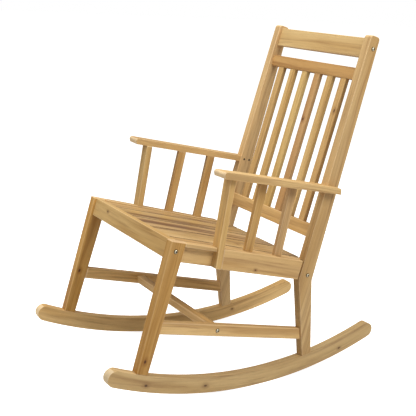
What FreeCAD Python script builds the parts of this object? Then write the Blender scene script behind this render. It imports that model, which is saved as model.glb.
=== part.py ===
import FreeCAD, Part
import math
import os
import Sketcher

# Slatted timber rocking chair. Millimetres, +Z up, the sitter faces -Y, +X is the sitter's left.
# The origin is on the floor, midway between the two rockers, where they touch it.

SIZES = [
    # side frames: two flat frames that stand closer together at the back
    ("frame_half_width", 266.0), ("splay", 0.04), ("member", 30.0),
    # rockers
    ("rocker_radius", 1405.0), ("rocker_depth", 50.0), ("rocker_front", 549.1), ("rocker_rear", 476.5),
    # line of the seat in side view
    ("seat_level", 428.3), ("seat_fall", 0.2466), ("seat_recess", 5.0),
    # front legs
    ("leg_top_front", 359.0), ("leg_top_depth", 48.3), ("toe_front", 456.1), ("toe_back", 419.8),
    # rear posts
    ("bend_y", 123.5), ("bend_z", 331.9), ("bend_depth", 55.4), ("bend_drop", 9.9), ("recline", 0.2693),
    ("post_length", 799.0), ("post_top_depth", 39.0), ("heel_front", 166.5), ("heel_back", 203.0),
    ("post_round", 11.0),
    # seat frame
    ("apron_setback", 7.0), ("apron_thick", 24.0), ("rail_drop", 64.0), ("apron_height", 58.0),
    ("side_rail_inset", 20.0), ("side_rail_thick", 22.0),
    ("rear_rail_front", 159.0), ("rear_rail_thick", 26.0), ("rear_rail_height", 52.0),
    ("front_batten", 28.5), ("rear_batten", 32.0), ("batten_height", 22.0),
    ("board_thick", 15.0), ("board_rear", 187.0), ("wide_board", 112.0), ("board_gap", 10.0),
    ("edge_play", 1.5), ("strip_thick", 12.0), ("batten_play", 0.5), ("cut_margin", 20.0),
    # side stretchers and the one across
    ("stretcher_level", 191.7), ("stretcher_fall", 0.2164), ("stretcher_height", 38.2),
    ("stretcher_inset", 6.0), ("stretcher_thick", 24.0), ("cross_y", 179.8), ("cross_size", 26.0),
    # arm frames
    ("arm_level", 672.4), ("arm_fall", 0.1862), ("arm_thick", 20.0), ("arm_front", 215.9),
    ("arm_rear", 239.7), ("arm_outside", 30.0), ("arm_inside", 27.0), ("arm_nose_back", 6.0), ("arm_round", 8.4),
    ("arm_post_foot", 207.6), ("arm_post_lean", 0.128), ("arm_post_depth", 21.0), ("arm_post_proud", 6.0),
    ("arm_slat_first", 90.0), ("arm_slat_pitch", 114.6), ("arm_slat_lean", 0.1943), ("arm_slat_width", 30.0),
    ("arm_slat_thick", 15.0), ("arm_slat_inset", 12.0), ("side_board_gap", 12.0),
    # back
    ("rail_setback", 9.0), ("top_rail_base", 727.3), ("top_rail_height", 62.0), ("back_rail_thick", 22.0),
    ("upper_rail_base", 654.1), ("upper_rail_height", 38.0),
    ("upper_rail_bevel", 8.0), ("upper_rail_bevel_in", 2.5),
    ("lower_rail_base", 135.5), ("lower_rail_height", 43.0), ("lower_rail_setback", 10.5),
    ("slat_width", 29.0), ("slat_thick", 15.0), ("slat_pitch", 67.0), ("slat_play", 0.4),
    ("slat_shoulder_gap", 0.1), ("mortise_spare", 1.0),
    ("tenon_length", 12.0), ("tenon_shoulder", 5.0), ("tenon_play", 0.6),
    # fastenings
    ("bolt_shank", 6.0), ("bolt_head", 11.0), ("bolt_head_height", 3.5), ("bolt_grip", 34.0),
    ("hole_play", 0.4), ("bore_play", 2.0), ("nut_diameter", 10.0), ("nut_height", 18.0), ("nut_back", 24.0),
    ("screw_shank", 4.0), ("screw_head", 8.0), ("screw_head_height", 2.0), ("screw_length", 34.0),
    ("screw_edge", 11.0), ("screw_line_front", 11.0), ("screw_line_rear", 135.0), ("screw_sink", 1.0),
    ("arm_screw_front", 0.3), ("arm_screw_back", 0.68), ("arm_screw_rise", 32.0), ("arm_screw_bite", 10.0),
]
BACK_SLATS = 6
ARM_SLATS = 2
SIDES = (("left", 1), ("right", -1))

doc = FreeCAD.newDocument("rocking_chair")
sheet = doc.addObject("Spreadsheet::Sheet", "Sizes")
for row, (alias, number) in enumerate(SIZES, start=1):
    sheet.set("A%d" % row, alias)
    sheet.set("B%d" % row, str(number))
    sheet.setAlias("B%d" % row, alias)
doc.recompute()


class Size:
    """A number together with the sheet expression that gives it."""

    def __init__(self, value, text):
        self.value = float(value)
        self.text = text

    @staticmethod
    def of(other):
        return other if isinstance(other, Size) else Size(other, "(%r)" % float(other))

    def __add__(self, other):
        other = Size.of(other)
        return Size(self.value + other.value, "(%s + %s)" % (self.text, other.text))

    def __sub__(self, other):
        other = Size.of(other)
        return Size(self.value - other.value, "(%s - %s)" % (self.text, other.text))

    def __mul__(self, other):
        other = Size.of(other)
        return Size(self.value * other.value, "(%s * %s)" % (self.text, other.text))

    def __truediv__(self, other):
        other = Size.of(other)
        return Size(self.value / other.value, "(%s / %s)" % (self.text, other.text))

    def __neg__(self):
        return Size(-self.value, "(0 - %s)" % self.text)

    def root(self):
        return Size(self.value ** 0.5, "sqrt(%s)" % self.text)


S = {alias: Size(number, "Sizes.%s" % alias) for alias, number in SIZES}
ZERO = Size(0.0, "0")
made = []


# ------------------------------------------------------------------ lines of the side view
def arc_top(y):
    """Height of a rocker's upper face at y."""
    inner = S["rocker_radius"] - S["rocker_depth"]
    return S["rocker_radius"] - (inner * inner - y * y).root()


def seat_line(y, drop=ZERO):
    return S["seat_level"] - S["seat_fall"] * y - drop


def arm_line(y, drop=ZERO):
    return S["arm_level"] - S["arm_fall"] * y - drop


class Edge:
    """A straight edge of the side view: y = y0 + lean * (z - z0)."""

    def __init__(self, y0, z0, lean):
        self.y0, self.z0, self.lean = y0, z0, lean

    def meet(self, level, fall):
        """Where this edge crosses the line z = level - fall * y."""
        y = (self.y0 + self.lean * (level - self.z0)) / (self.lean * fall + 1.0)
        return (y, level - fall * y)

    def shifted(self, step):
        return Edge(self.y0 + step, self.z0, self.lean)


leg_top_front = (-S["leg_top_front"], seat_line(-S["leg_top_front"]))
leg_top_back_y = S["leg_top_depth"] - S["leg_top_front"]
leg_top_back = (leg_top_back_y, seat_line(leg_top_back_y))
toe_front = (-S["toe_front"], arc_top(S["toe_front"]))
toe_back = (-S["toe_back"], arc_top(S["toe_back"]))
leg_front = Edge(toe_front[0], toe_front[1],
                 (leg_top_front[0] - toe_front[0]) / (leg_top_front[1] - toe_front[1]))
leg_back = Edge(toe_back[0], toe_back[1],
                (leg_top_back[0] - toe_back[0]) / (leg_top_back[1] - toe_back[1]))

lean_length = (S["recline"] * S["recline"] + 1.0).root()
lean_cos = Size(1.0, "1") / lean_length
lean_sin = S["recline"] / lean_length
bend_front = (S["bend_y"], S["bend_z"])
bend_back = (S["bend_y"] + S["bend_depth"], S["bend_z"] - S["bend_drop"])
post_top_front = (S["bend_y"] + S["post_length"] * lean_sin, S["bend_z"] + S["post_length"] * lean_cos)
post_top_back = (post_top_front[0] + S["post_top_depth"] * lean_cos,
                 post_top_front[1] - S["post_top_depth"] * lean_sin)
heel_front = (S["heel_front"], arc_top(S["heel_front"]))
heel_back = (S["heel_back"], arc_top(S["heel_back"]))
post_face = Edge(S["bend_y"], S["bend_z"], S["recline"])
shin_face = Edge(heel_front[0], heel_front[1],
                 (bend_front[0] - heel_front[0]) / (bend_front[1] - heel_front[1]))


def on_post(depth, along):
    """Side-view point at a depth behind the post's front face and a distance up from its bend."""
    return (S["bend_y"] + along * lean_sin + depth * lean_cos,
            S["bend_z"] + along * lean_cos - depth * lean_sin)


arm_post_face = Edge(-S["arm_post_foot"], seat_line(-S["arm_post_foot"], S["rail_drop"]), S["arm_post_lean"])
arm_post_back = arm_post_face.shifted(S["arm_post_depth"])
arm_under = S["arm_level"] - S["arm_thick"]
seat_under = S["seat_level"] - S["rail_drop"]
seat_length = (S["seat_fall"] * S["seat_fall"] + 1.0).root()
board_drop = S["seat_recess"] + S["board_thick"]
strip_under = S["seat_level"] - S["strip_thick"] * seat_length
board_under = S["seat_level"] - board_drop * seat_length
stretcher_under = S["stretcher_level"] - S["stretcher_height"]

splay_length = (S["splay"] * S["splay"] + 1.0).root()
splay_cos = Size(1.0, "1") / splay_length
splay_sin = S["splay"] / splay_length


def inner_half(y):
    """Half the clear width between the side frames at y."""
    return S["frame_half_width"] - S["splay"] * y - S["member"] * splay_length


# ------------------------------------------------------------------ building blocks
def new_body(label):
    body = doc.addObject("PartDesign::Body", label)
    body.Label = label
    made.append(body)
    return body


def plane_of(body, role):
    return [item for item in body.Origin.OriginFeatures if item.Role == role][0]


def new_sketch(body, name, role, lift=None):
    sketch = body.newObject("Sketcher::SketchObject", "%s_%s" % (body.Name, name))
    sketch.AttachmentSupport = [(plane_of(body, role), "")]
    sketch.MapMode = "FlatFace"
    if lift is not None:
        sketch.AttachmentOffset = FreeCAD.Placement(FreeCAD.Vector(0, 0, lift.value), FreeCAD.Rotation())
        sketch.setExpression("AttachmentOffset.Base.z", lift.text)
    return sketch


def fix(sketch, kind, geometry, point, size):
    index = sketch.addConstraint(Sketcher.Constraint(kind, geometry, point, size.value))
    sketch.setExpression("Constraints[%d]" % index, size.text)


def add_polygon(sketch, corners):
    first = sketch.GeometryCount
    count = len(corners)
    for number in range(count):
        start = corners[number]
        end = corners[(number + 1) % count]
        sketch.addGeometry(Part.LineSegment(FreeCAD.Vector(start[0].value, start[1].value, 0),
                                            FreeCAD.Vector(end[0].value, end[1].value, 0)), False)
    for number in range(count):
        following = first + (number + 1) % count
        sketch.addConstraint(Sketcher.Constraint("Coincident", first + number, 2, following, 1))
    for number in range(count):
        fix(sketch, "DistanceX", first + number, 1, corners[number][0])
        fix(sketch, "DistanceY", first + number, 1, corners[number][1])


def add_circle(sketch, centre, diameter):
    index = sketch.addGeometry(Part.Circle(FreeCAD.Vector(centre[0].value, centre[1].value, 0),
                                           FreeCAD.Vector(0, 0, 1), diameter.value / 2.0), False)
    fix(sketch, "DistanceX", index, 3, centre[0])
    fix(sketch, "DistanceY", index, 3, centre[1])
    number = sketch.addConstraint(Sketcher.Constraint("Diameter", index, diameter.value))
    sketch.setExpression("Constraints[%d]" % number, diameter.text)


def pad(body, sketch, length, reverse=False, middle=False):
    feature = body.newObject("PartDesign::Pad", "%s_Pad" % sketch.Name)
    feature.Profile = sketch
    feature.Length = length.value
    feature.setExpression("Length", length.text)
    feature.Reversed = reverse
    feature.Midplane = middle
    return feature


def pocket(body, sketch, length, reverse=False, middle=False):
    feature = body.newObject("PartDesign::Pocket", "%s_Pocket" % sketch.Name)
    feature.Profile = sketch
    feature.Length = length.value
    feature.setExpression("Length", length.text)
    feature.Reversed = reverse
    feature.Midplane = middle
    doc.recompute()
    return feature


def mirror(body, features):
    """Repeat features on the other side of the middle of a cross piece."""
    feature = body.newObject("PartDesign::Mirrored", "%s_Mirrored" % features[0].Name)
    feature.Originals = features
    feature.MirrorPlane = (plane_of(body, "YZ_Plane"), [""])
    body.Tip = feature
    doc.recompute()
    return feature


def stand_in_side(thing, side, outward=ZERO):
    """Put a piece in a side frame; its local x = 0 lies `outward` of the frame's outer face."""
    base_x = (S["frame_half_width"] + outward * splay_cos) * side
    base_y = outward * splay_sin
    angle = side * math.degrees(math.atan(S["splay"].value))
    thing.Placement = FreeCAD.Placement(FreeCAD.Vector(base_x.value, base_y.value, 0),
                                        FreeCAD.Rotation(FreeCAD.Vector(0, 0, 1), angle))
    thing.setExpression("Placement.Base.x", base_x.text)
    thing.setExpression("Placement.Base.y", base_y.text)
    thing.setExpression("Placement.Rotation.Angle", "%d * atan(Sizes.splay)" % side)


def lean_on_post(thing, depth, along, shift=ZERO):
    """Put a piece in the plane of the back, which leans with the rear posts."""
    y, z = on_post(depth, along)
    thing.Placement = FreeCAD.Placement(
        FreeCAD.Vector(shift.value, y.value, z.value),
        FreeCAD.Rotation(FreeCAD.Vector(1, 0, 0), -math.degrees(math.atan(S["recline"].value))))
    thing.setExpression("Placement.Base.x", shift.text)
    thing.setExpression("Placement.Base.y", y.text)
    thing.setExpression("Placement.Base.z", z.text)
    thing.setExpression("Placement.Rotation.Angle", "-1 * atan(Sizes.recline)")


def side_piece(name, corners, thick, outward=ZERO, holes=()):
    """A flat piece of a side frame, made once for each side; returns {side: body}."""
    pieces = {}
    for word, side in SIDES:
        body = new_body("%s_%s" % (name, word))
        sketch = new_sketch(body, "outline", "YZ_Plane")
        add_polygon(sketch, corners)
        for centre, diameter in holes:
            add_circle(sketch, centre, diameter)
        pad(body, sketch, thick, reverse=(side > 0))
        stand_in_side(body, side, outward)
        pieces[side] = body
    return pieces


def cut_side(pieces, name, corners, start, depth, circle=False):
    """Pocket a side piece from `start` inside its outer face, cutting outward by `depth`."""
    for side, body in pieces.items():
        sketch = new_sketch(body, name, "YZ_Plane", start * -side)
        if circle:
            for centre, diameter in corners:
                add_circle(sketch, centre, diameter)
        else:
            add_polygon(sketch, corners)
        pocket(body, sketch, depth, reverse=(side > 0))


def soften(body, points, radius):
    """Round the edges that run across a side piece through the given side-view points."""
    doc.recompute()
    tip = body.Tip
    names = []
    for number, edge in enumerate(tip.Shape.Edges, start=1):
        ends = [vertex.Point for vertex in edge.Vertexes]
        if len(ends) != 2 or abs(ends[0].x - ends[1].x) < 1.0:
            continue
        for y, z in points:
            if all(abs(end.y - y.value) < 0.5 and abs(end.z - z.value) < 0.5 for end in ends):
                names.append("Edge%d" % number)
    if len(names) != len(points):
        raise RuntimeError("edges to round not found on %s" % body.Label)
    feature = body.newObject("PartDesign::Fillet", "%s_Round" % body.Name)
    feature.Base = (tip, names)
    feature.Radius = radius.value
    feature.setExpression("Radius", radius.text)
    doc.recompute()


def solids_node(label, solids):
    """A node of like small parts, kept as separate solids."""
    item = doc.addObject("Part::Feature", label)
    item.Label = label
    item.Shape = Part.makeCompound(solids)
    made.append(item)
    return item


# ------------------------------------------------------------------ where the bolts go
def on_seat(along, up):
    """Side-view point at a distance back along the seat and a height square to it."""
    return (along / seat_length + up * S["seat_fall"] / seat_length,
            S["seat_level"] - along * S["seat_fall"] / seat_length + up / seat_length)


clear_hole = S["bolt_shank"] + S["hole_play"]
bolt_lead = (S["member"] + S["bolt_grip"] / 2.0) * S["splay"]


def in_frame(point, lead):
    """A point of a cross piece, moved along to where a square hole in the splayed frame starts."""
    return (point[0] + lead, point[1])


apron_front = (S["apron_setback"] - S["leg_top_front"]) * seat_length
apron_back = apron_front + S["apron_thick"]
apron_bolt = in_frame(on_seat(apron_front + S["apron_thick"] / 2.0, -S["apron_height"] / 2.0), bolt_lead)
rear_rail_mid = S["rear_rail_front"] + S["rear_rail_thick"] / 2.0
rear_bolt = in_frame(on_seat(rear_rail_mid, -board_drop - S["rear_rail_height"] / 2.0), bolt_lead)
top_bolt = in_frame(on_post(S["rail_setback"] + S["back_rail_thick"] / 2.0,
                            S["top_rail_base"] + S["top_rail_height"] / 2.0), bolt_lead)
cross_level = S["stretcher_level"] + S["stretcher_fall"] * S["cross_y"] - S["stretcher_height"] / 2.0
cross_bolt = in_frame((-S["cross_y"], cross_level), bolt_lead)

# ------------------------------------------------------------------ rockers
nose = S["rocker_depth"] / 2.0
middle_radius = S["rocker_radius"] - nose
under_radius = S["rocker_radius"]
upper_radius = S["rocker_radius"] - S["rocker_depth"]
rocking_centre = FreeCAD.Vector(0, S["rocker_radius"].value, 0)


def vector(point):
    return FreeCAD.Vector(point[0].value, point[1].value, 0)


def tip_middle(reach, sign):
    """Middle of the half-round end of a rocker that reaches out to `reach`."""
    y = (reach - nose) * sign
    return (y, S["rocker_radius"] - (middle_radius * middle_radius - y * y).root())


def radial(end, radius):
    """Point on a circle about the rocking centre, on the ray through an end's middle."""
    share = radius / middle_radius
    return (end[0] * share, S["rocker_radius"] - (S["rocker_radius"] - end[1]) * share)


def nearest_end(sketch, arc, point):
    """Which end of an arc (1 or 2) is at the given point."""
    gaps = [(sketch.getPoint(arc, position) - vector(point)).Length for position in (1, 2)]
    return 1 if gaps[0] < gaps[1] else 2


rocker_ends = [(tip_middle(S["rocker_front"], -1.0), -1), (tip_middle(S["rocker_rear"], 1.0), 1)]


def rocker_outline(sketch):
    """Two arcs about the rocking centre, joined by half-round tips."""
    long_arcs = []
    for radius, height in ((under_radius, 0.0), (upper_radius, S["rocker_depth"].value)):
        points = [radial(end, radius) for end, _ in rocker_ends]
        curve = Part.Arc(vector(points[0]), FreeCAD.Vector(0, height, 0), vector(points[1]))
        arc = sketch.addGeometry(curve, False)
        long_arcs.append((arc, points))
        fix(sketch, "DistanceX", arc, 3, ZERO)
        fix(sketch, "DistanceY", arc, 3, S["rocker_radius"])
        index = sketch.addConstraint(Sketcher.Constraint("Radius", arc, radius.value))
        sketch.setExpression("Constraints[%d]" % index, radius.text)
        for point in points:
            fix(sketch, "DistanceX", arc, nearest_end(sketch, arc, point), point[0])
    for number, (end, sign) in enumerate(rocker_ends):
        ray = vector(end) - rocking_centre
        ray.normalize()
        across = FreeCAD.Vector(-ray.y, ray.x, 0)
        if across.x * sign < 0:
            across = across * -1
        low = long_arcs[0][1][number]
        high = long_arcs[1][1][number]
        curve = Part.Arc(vector(low), vector(end) + across * nose.value, vector(high))
        tip = sketch.addGeometry(curve, False)
        fix(sketch, "DistanceX", tip, 3, end[0])
        for (arc, points) in long_arcs:
            point = points[number]
            sketch.addConstraint(Sketcher.Constraint("Coincident", tip, nearest_end(sketch, tip, point),
                                                     arc, nearest_end(sketch, arc, point)))


rockers = {}
for word, side in SIDES:
    body = new_body("rocker_%s" % word)
    sketch = new_sketch(body, "outline", "YZ_Plane")
    rocker_outline(sketch)
    pad(body, sketch, S["member"], reverse=(side > 0))
    stand_in_side(body, side)
    rockers[side] = body

# ------------------------------------------------------------------ legs, posts, rails and side stretchers
front_legs = side_piece("front_leg", [toe_front, toe_back, leg_top_back, leg_top_front], S["member"],
                        holes=[(apron_bolt, clear_hole)])

post_outline = [heel_front, heel_back, bend_back, post_top_back, post_top_front, bend_front]
rear_posts = side_piece("rear_post", post_outline, S["member"],
                        holes=[(rear_bolt, clear_hole), (top_bolt, clear_hole)])


mortise_lead = (S["member"] - S["tenon_length"] / 2.0) * S["splay"]


def mortise(base, height, setback):
    """Outline of a rail's mortise in the post, with play all round."""
    play = S["tenon_play"]
    front = setback + S["tenon_shoulder"] - play
    back = setback + S["back_rail_thick"] - S["tenon_shoulder"] + play
    corners = [on_post(front, base - play), on_post(back, base - play),
               on_post(back, base + height + play), on_post(front, base + height + play)]
    return [in_frame(corner, mortise_lead) for corner in corners]


mortise_depth = S["tenon_length"] + S["mortise_spare"]
for title, base, height, setback in (("upper", "upper_rail_base", "upper_rail_height", "rail_setback"),
                                     ("lower", "lower_rail_base", "lower_rail_height", "lower_rail_setback")):
    cut_side(rear_posts, "mortise_%s" % title, mortise(S[base], S[height], S[setback]),
             S["member"], mortise_depth)
arm_drop = S["arm_thick"] / 2.0
arm_screw_marks = []
for share in ("arm_screw_front", "arm_screw_back"):
    mark_rise = arm_under - S["bend_z"] - S["arm_screw_rise"]
    mark_y = S["bend_y"] + S["recline"] * mark_rise + S["bend_depth"] * S[share]
    arm_screw_marks.append((mark_y, arm_line(mark_y, arm_drop)))
screw_hole = S["screw_shank"]
cut_side(rear_posts, "arm_screws", [(mark, screw_hole) for mark in arm_screw_marks],
         S["member"], S["member"], circle=True)
cut_side(rear_posts, "arm_screw_heads", [(mark, S["screw_head"]) for mark in arm_screw_marks],
         S["member"], S["screw_head_height"] + S["screw_sink"], circle=True)
for body in rear_posts.values():
    soften(body, [post_top_front, post_top_back], S["post_round"])

rail_front_top = leg_back.meet(strip_under, S["seat_fall"])
rail_front_low = leg_back.meet(seat_under, S["seat_fall"])
rail_rear_top = post_face.meet(strip_under, S["seat_fall"])
rail_rear_low = post_face.meet(seat_under, S["seat_fall"])
side_rails = side_piece("side_rail", [rail_front_low, rail_rear_low, rail_rear_top, rail_front_top],
                        S["side_rail_thick"], outward=-S["side_rail_inset"])
rebate_front = leg_back.shifted(-S["cut_margin"])
rebate_rear = post_face.shifted(S["cut_margin"])
rebate = [rebate_front.meet(board_under, S["seat_fall"]), rebate_rear.meet(board_under, S["seat_fall"]),
          rebate_rear.meet(S["seat_level"], S["seat_fall"]),
          rebate_front.meet(S["seat_level"], S["seat_fall"])]
cut_side(side_rails, "board_rebate", rebate, S["side_rail_thick"],
         S["side_rail_inset"] + S["side_rail_thick"] - S["member"])

strip_front_top = leg_back.meet(S["seat_level"], S["seat_fall"])
strip_rear_top = post_face.meet(S["seat_level"], S["seat_fall"])
strips = side_piece("seat_edge_strip", [rail_front_top, rail_rear_top, strip_rear_top, strip_front_top],
                    S["member"])
for side, body in strips.items():
    sketch = new_sketch(body, "housing", "XY_Plane", S["seat_level"] * 2.0)
    outer_x = S["cut_margin"] * side
    inner_x = S["side_rail_inset"] * -side
    far_y = S["bend_y"] + S["bend_depth"]
    housing_front = arm_post_face.meet(strip_under, S["seat_fall"])[0]
    add_polygon(sketch, [(outer_x, housing_front), (outer_x, far_y),
                         (inner_x, far_y), (inner_x, housing_front)])
    pocket(body, sketch, S["seat_level"] * 2.0)

low_front_top = leg_back.meet(S["stretcher_level"], S["stretcher_fall"])
low_front_under = leg_back.meet(stretcher_under, S["stretcher_fall"])
low_rear_top = shin_face.meet(S["stretcher_level"], S["stretcher_fall"])
low_rear_under = shin_face.meet(stretcher_under, S["stretcher_fall"])
stretchers = side_piece("side_stretcher", [low_front_under, low_rear_under, low_rear_top, low_front_top],
                        S["stretcher_thick"], outward=-S["stretcher_inset"], holes=[(cross_bolt, clear_hole)])

# ------------------------------------------------------------------ arm frames
arm_post_top = [arm_post_back.meet(arm_under, S["arm_fall"]), arm_post_face.meet(arm_under, S["arm_fall"])]
arm_post_low = [arm_post_face.meet(seat_under, S["seat_fall"]),
                arm_post_back.meet(seat_under, S["seat_fall"])]
arm_post_width = S["member"] + S["arm_post_proud"]
arm_posts = side_piece("arm_front_post", arm_post_low + arm_post_top, arm_post_width,
                       outward=S["arm_post_proud"])
housing_face = arm_post_face.shifted(-S["cut_margin"])
housing_back = arm_post_back.shifted(S["cut_margin"])
housing_under = seat_under - S["cut_margin"]
housing = [housing_face.meet(S["seat_level"], S["seat_fall"]), housing_face.meet(housing_under, S["seat_fall"]),
           housing_back.meet(housing_under, S["seat_fall"]), housing_back.meet(S["seat_level"], S["seat_fall"])]
cut_side(arm_posts, "housing", housing, arm_post_width, S["member"] - S["side_rail_inset"])

arm_side_drop = S["arm_thick"]
arm_front_top = (-S["arm_front"], arm_line(-S["arm_front"]))
arm_front_low_y = S["arm_nose_back"] - S["arm_front"]
arm_outline = [(arm_front_low_y, arm_line(arm_front_low_y, arm_side_drop)),
               (S["arm_rear"], arm_line(S["arm_rear"], arm_side_drop)),
               (S["arm_rear"], arm_line(S["arm_rear"])), arm_front_top]
arm_width = S["arm_outside"] + S["arm_inside"]
arms = side_piece("arm", arm_outline, arm_width, outward=S["arm_outside"])
notch_rear = S["arm_rear"] + S["cut_margin"]
arm_notch = [post_face.meet(arm_under - S["cut_margin"], S["arm_fall"]),
             (notch_rear, arm_line(notch_rear, S["arm_thick"] + S["cut_margin"])),
             (notch_rear, arm_line(notch_rear) + S["cut_margin"]),
             post_face.meet(S["arm_level"] + S["cut_margin"], S["arm_fall"])]
cut_side(arms, "notch", arm_notch, arm_width, S["arm_inside"])
cut_side(arms, "screw_holes", [(mark, screw_hole) for mark in arm_screw_marks],
         S["arm_outside"], S["arm_screw_bite"] + S["bore_play"], circle=True)
for body in arms.values():
    soften(body, [arm_front_top, (S["arm_rear"], arm_line(S["arm_rear"]))], S["arm_round"])

for number in range(ARM_SLATS):
    foot_y = S["arm_slat_pitch"] * float(number) - S["arm_slat_first"]
    face = Edge(foot_y, seat_line(foot_y), S["arm_slat_lean"])
    rear = face.shifted(S["arm_slat_width"])
    corners = [face.meet(S["seat_level"], S["seat_fall"]), rear.meet(S["seat_level"], S["seat_fall"]),
               rear.meet(arm_under, S["arm_fall"]), face.meet(arm_under, S["arm_fall"])]
    side_piece("arm_slat_%d" % (number + 1), corners, S["arm_slat_thick"], outward=-S["arm_slat_inset"])

board_end = post_face.shifted(-S["side_board_gap"])
board_corners = [arm_post_back.meet(seat_under, S["seat_fall"]), board_end.meet(seat_under, S["seat_fall"]),
                 board_end.meet(S["seat_level"], S["seat_fall"]),
                 arm_post_back.meet(S["seat_level"], S["seat_fall"])]
side_boards = side_piece("side_board", board_corners, S["side_rail_inset"] + S["arm_post_proud"],
                         outward=S["arm_post_proud"])


# ------------------------------------------------------------------ pieces that cross from side to side
def cross_piece(name, half_front, half_back, thick, height, tenon=None):
    """A board across the chair: a plan with splayed ends, raised by its height."""
    body = new_body(name)
    sketch = new_sketch(body, "plan", "XY_Plane")
    if tenon is None:
        corners = [(-half_front, ZERO), (half_front, ZERO), (half_back, thick), (-half_back, thick)]
    else:
        cheek = S["tenon_shoulder"]
        near = half_front - S["splay"] * cheek
        far = half_back + S["splay"] * cheek
        corners = [(-half_front, ZERO), (half_front, ZERO), (near, cheek), (near + tenon, cheek),
                   (far + tenon, thick - cheek), (far, thick - cheek), (half_back, thick), (-half_back, thick),
                   (-far, thick - cheek), (-(far + tenon), thick - cheek), (-(near + tenon), cheek), (-near, cheek)]
    add_polygon(sketch, corners)
    pad(body, sketch, height)
    return body


def bolt_bores(body, half_back, centre_y, centre_z):
    """Bores in both ends for a bolt and its barrel nut."""
    start = half_back - S["bolt_grip"]
    sketch = new_sketch(body, "bolt_bore", "YZ_Plane", start)
    add_circle(sketch, (centre_y, centre_z), S["bolt_shank"] + S["bore_play"] * 2.0)
    bore = pocket(body, sketch, S["bolt_grip"] * 2.0, reverse=True)
    sketch = new_sketch(body, "nut_bore", "XY_Plane")
    add_circle(sketch, (half_back - S["nut_back"], centre_y), S["nut_diameter"])
    nut = pocket(body, sketch, centre_z + S["nut_height"] / 2.0, reverse=True)
    mirror(body, [bore, nut])


def lay_in_seat(thing, along, up, shift=ZERO):
    """Put a piece in the slope of the seat."""
    y, z = on_seat(along, up)
    thing.Placement = FreeCAD.Placement(
        FreeCAD.Vector(shift.value, y.value, z.value),
        FreeCAD.Rotation(FreeCAD.Vector(1, 0, 0), -math.degrees(math.atan(S["seat_fall"].value))))
    thing.setExpression("Placement.Base.x", shift.text)
    thing.setExpression("Placement.Base.y", y.text)
    thing.setExpression("Placement.Base.z", z.text)
    thing.setExpression("Placement.Rotation.Angle", "-1 * atan(Sizes.seat_fall)")


def half_on_seat(along):
    """Half the room between the side frames at a distance back along the seat."""
    return inner_half(on_seat(along, ZERO)[0])


apron_half_back = half_on_seat(apron_back)
apron = cross_piece("front_apron", half_on_seat(apron_front), apron_half_back, S["apron_thick"],
                    S["apron_height"])
bolt_bores(apron, apron_half_back, S["apron_thick"] / 2.0, S["apron_height"] / 2.0)
lay_in_seat(apron, apron_front, -S["apron_height"])

rear_rail_back = S["rear_rail_front"] + S["rear_rail_thick"]
rear_half_back = half_on_seat(rear_rail_back)
rear_rail = cross_piece("rear_seat_rail", half_on_seat(S["rear_rail_front"]), rear_half_back,
                        S["rear_rail_thick"], S["rear_rail_height"])
bolt_bores(rear_rail, rear_half_back, S["rear_rail_thick"] / 2.0, S["rear_rail_height"] / 2.0)
lay_in_seat(rear_rail, S["rear_rail_front"], -board_drop - S["rear_rail_height"])

rail_inside = (S["side_rail_inset"] + S["side_rail_thick"] - S["member"]) * splay_length + S["batten_play"]
for name, start, depth in (("front_batten", apron_back, S["front_batten"]),
                           ("rear_batten", S["rear_rail_front"] - S["rear_batten"], S["rear_batten"])):
    half_near = half_on_seat(start) - rail_inside
    half_far = half_on_seat(start + depth) - rail_inside
    batten = cross_piece(name, half_near, half_far, depth, S["batten_height"])
    lay_in_seat(batten, start, -board_drop - S["batten_height"])

# seat boards: three wide ones and a tapering narrow one against each side
board_length = S["board_rear"] - apron_back
pitch = S["wide_board"] + S["board_gap"]
board_spans = []
for number in range(3):
    left_edge = pitch * float(number - 1) - S["wide_board"] / 2.0
    board_spans.append((left_edge, left_edge + S["wide_board"], left_edge, left_edge + S["wide_board"]))
edge_start = pitch * 1.5 + S["board_gap"] / 2.0
edge_near = half_on_seat(apron_back) - S["edge_play"]
edge_far = half_on_seat(S["board_rear"]) - S["edge_play"]
board_spans.insert(0, (-edge_near, -edge_start, -edge_far, -edge_start))
board_spans.append((edge_start, edge_near, edge_start, edge_far))
board_screws = []
screw_line_front = S["screw_line_front"]
screw_line_rear = S["screw_line_rear"] - apron_back
for number, (low_near, high_near, low_far, high_far) in enumerate(board_spans, start=1):
    body = new_body("seat_board_%d" % number)
    sketch = new_sketch(body, "plan", "XY_Plane")
    add_polygon(sketch, [(low_near, ZERO), (high_near, ZERO),
                         (high_far, board_length), (low_far, board_length)])
    marks = []
    for line in (screw_line_front, screw_line_rear):
        marks.append((low_far + S["screw_edge"], line) if number > 1 else (high_far - S["screw_edge"], line))
        if number in (2, 3, 4):
            marks.append((high_far - S["screw_edge"], line))
    for mark in marks:
        add_circle(sketch, mark, S["screw_shank"])
    pad(body, sketch, S["board_thick"])
    sinks = new_sketch(body, "screw_sinks", "XY_Plane", S["board_thick"])
    for mark in marks:
        add_circle(sinks, mark, S["screw_head"])
    pocket(body, sinks, S["screw_head_height"] + S["screw_sink"])
    lay_in_seat(body, apron_back, -board_drop)
    board_screws.extend(marks)
for name, start in (("front_batten", apron_back), ("rear_batten", S["rear_rail_front"] - S["rear_batten"])):
    batten = [item for item in made if item.Label == name][0]
    sketch = new_sketch(batten, "screw_holes", "XY_Plane", S["batten_height"])
    for x, along in board_screws:
        inside = apron_back + along - start
        if 0.0 < inside.value < S["rear_batten"].value:
            add_circle(sketch, (x, inside), S["screw_shank"])
    pocket(batten, sketch, S["screw_length"] - S["board_thick"])

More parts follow.
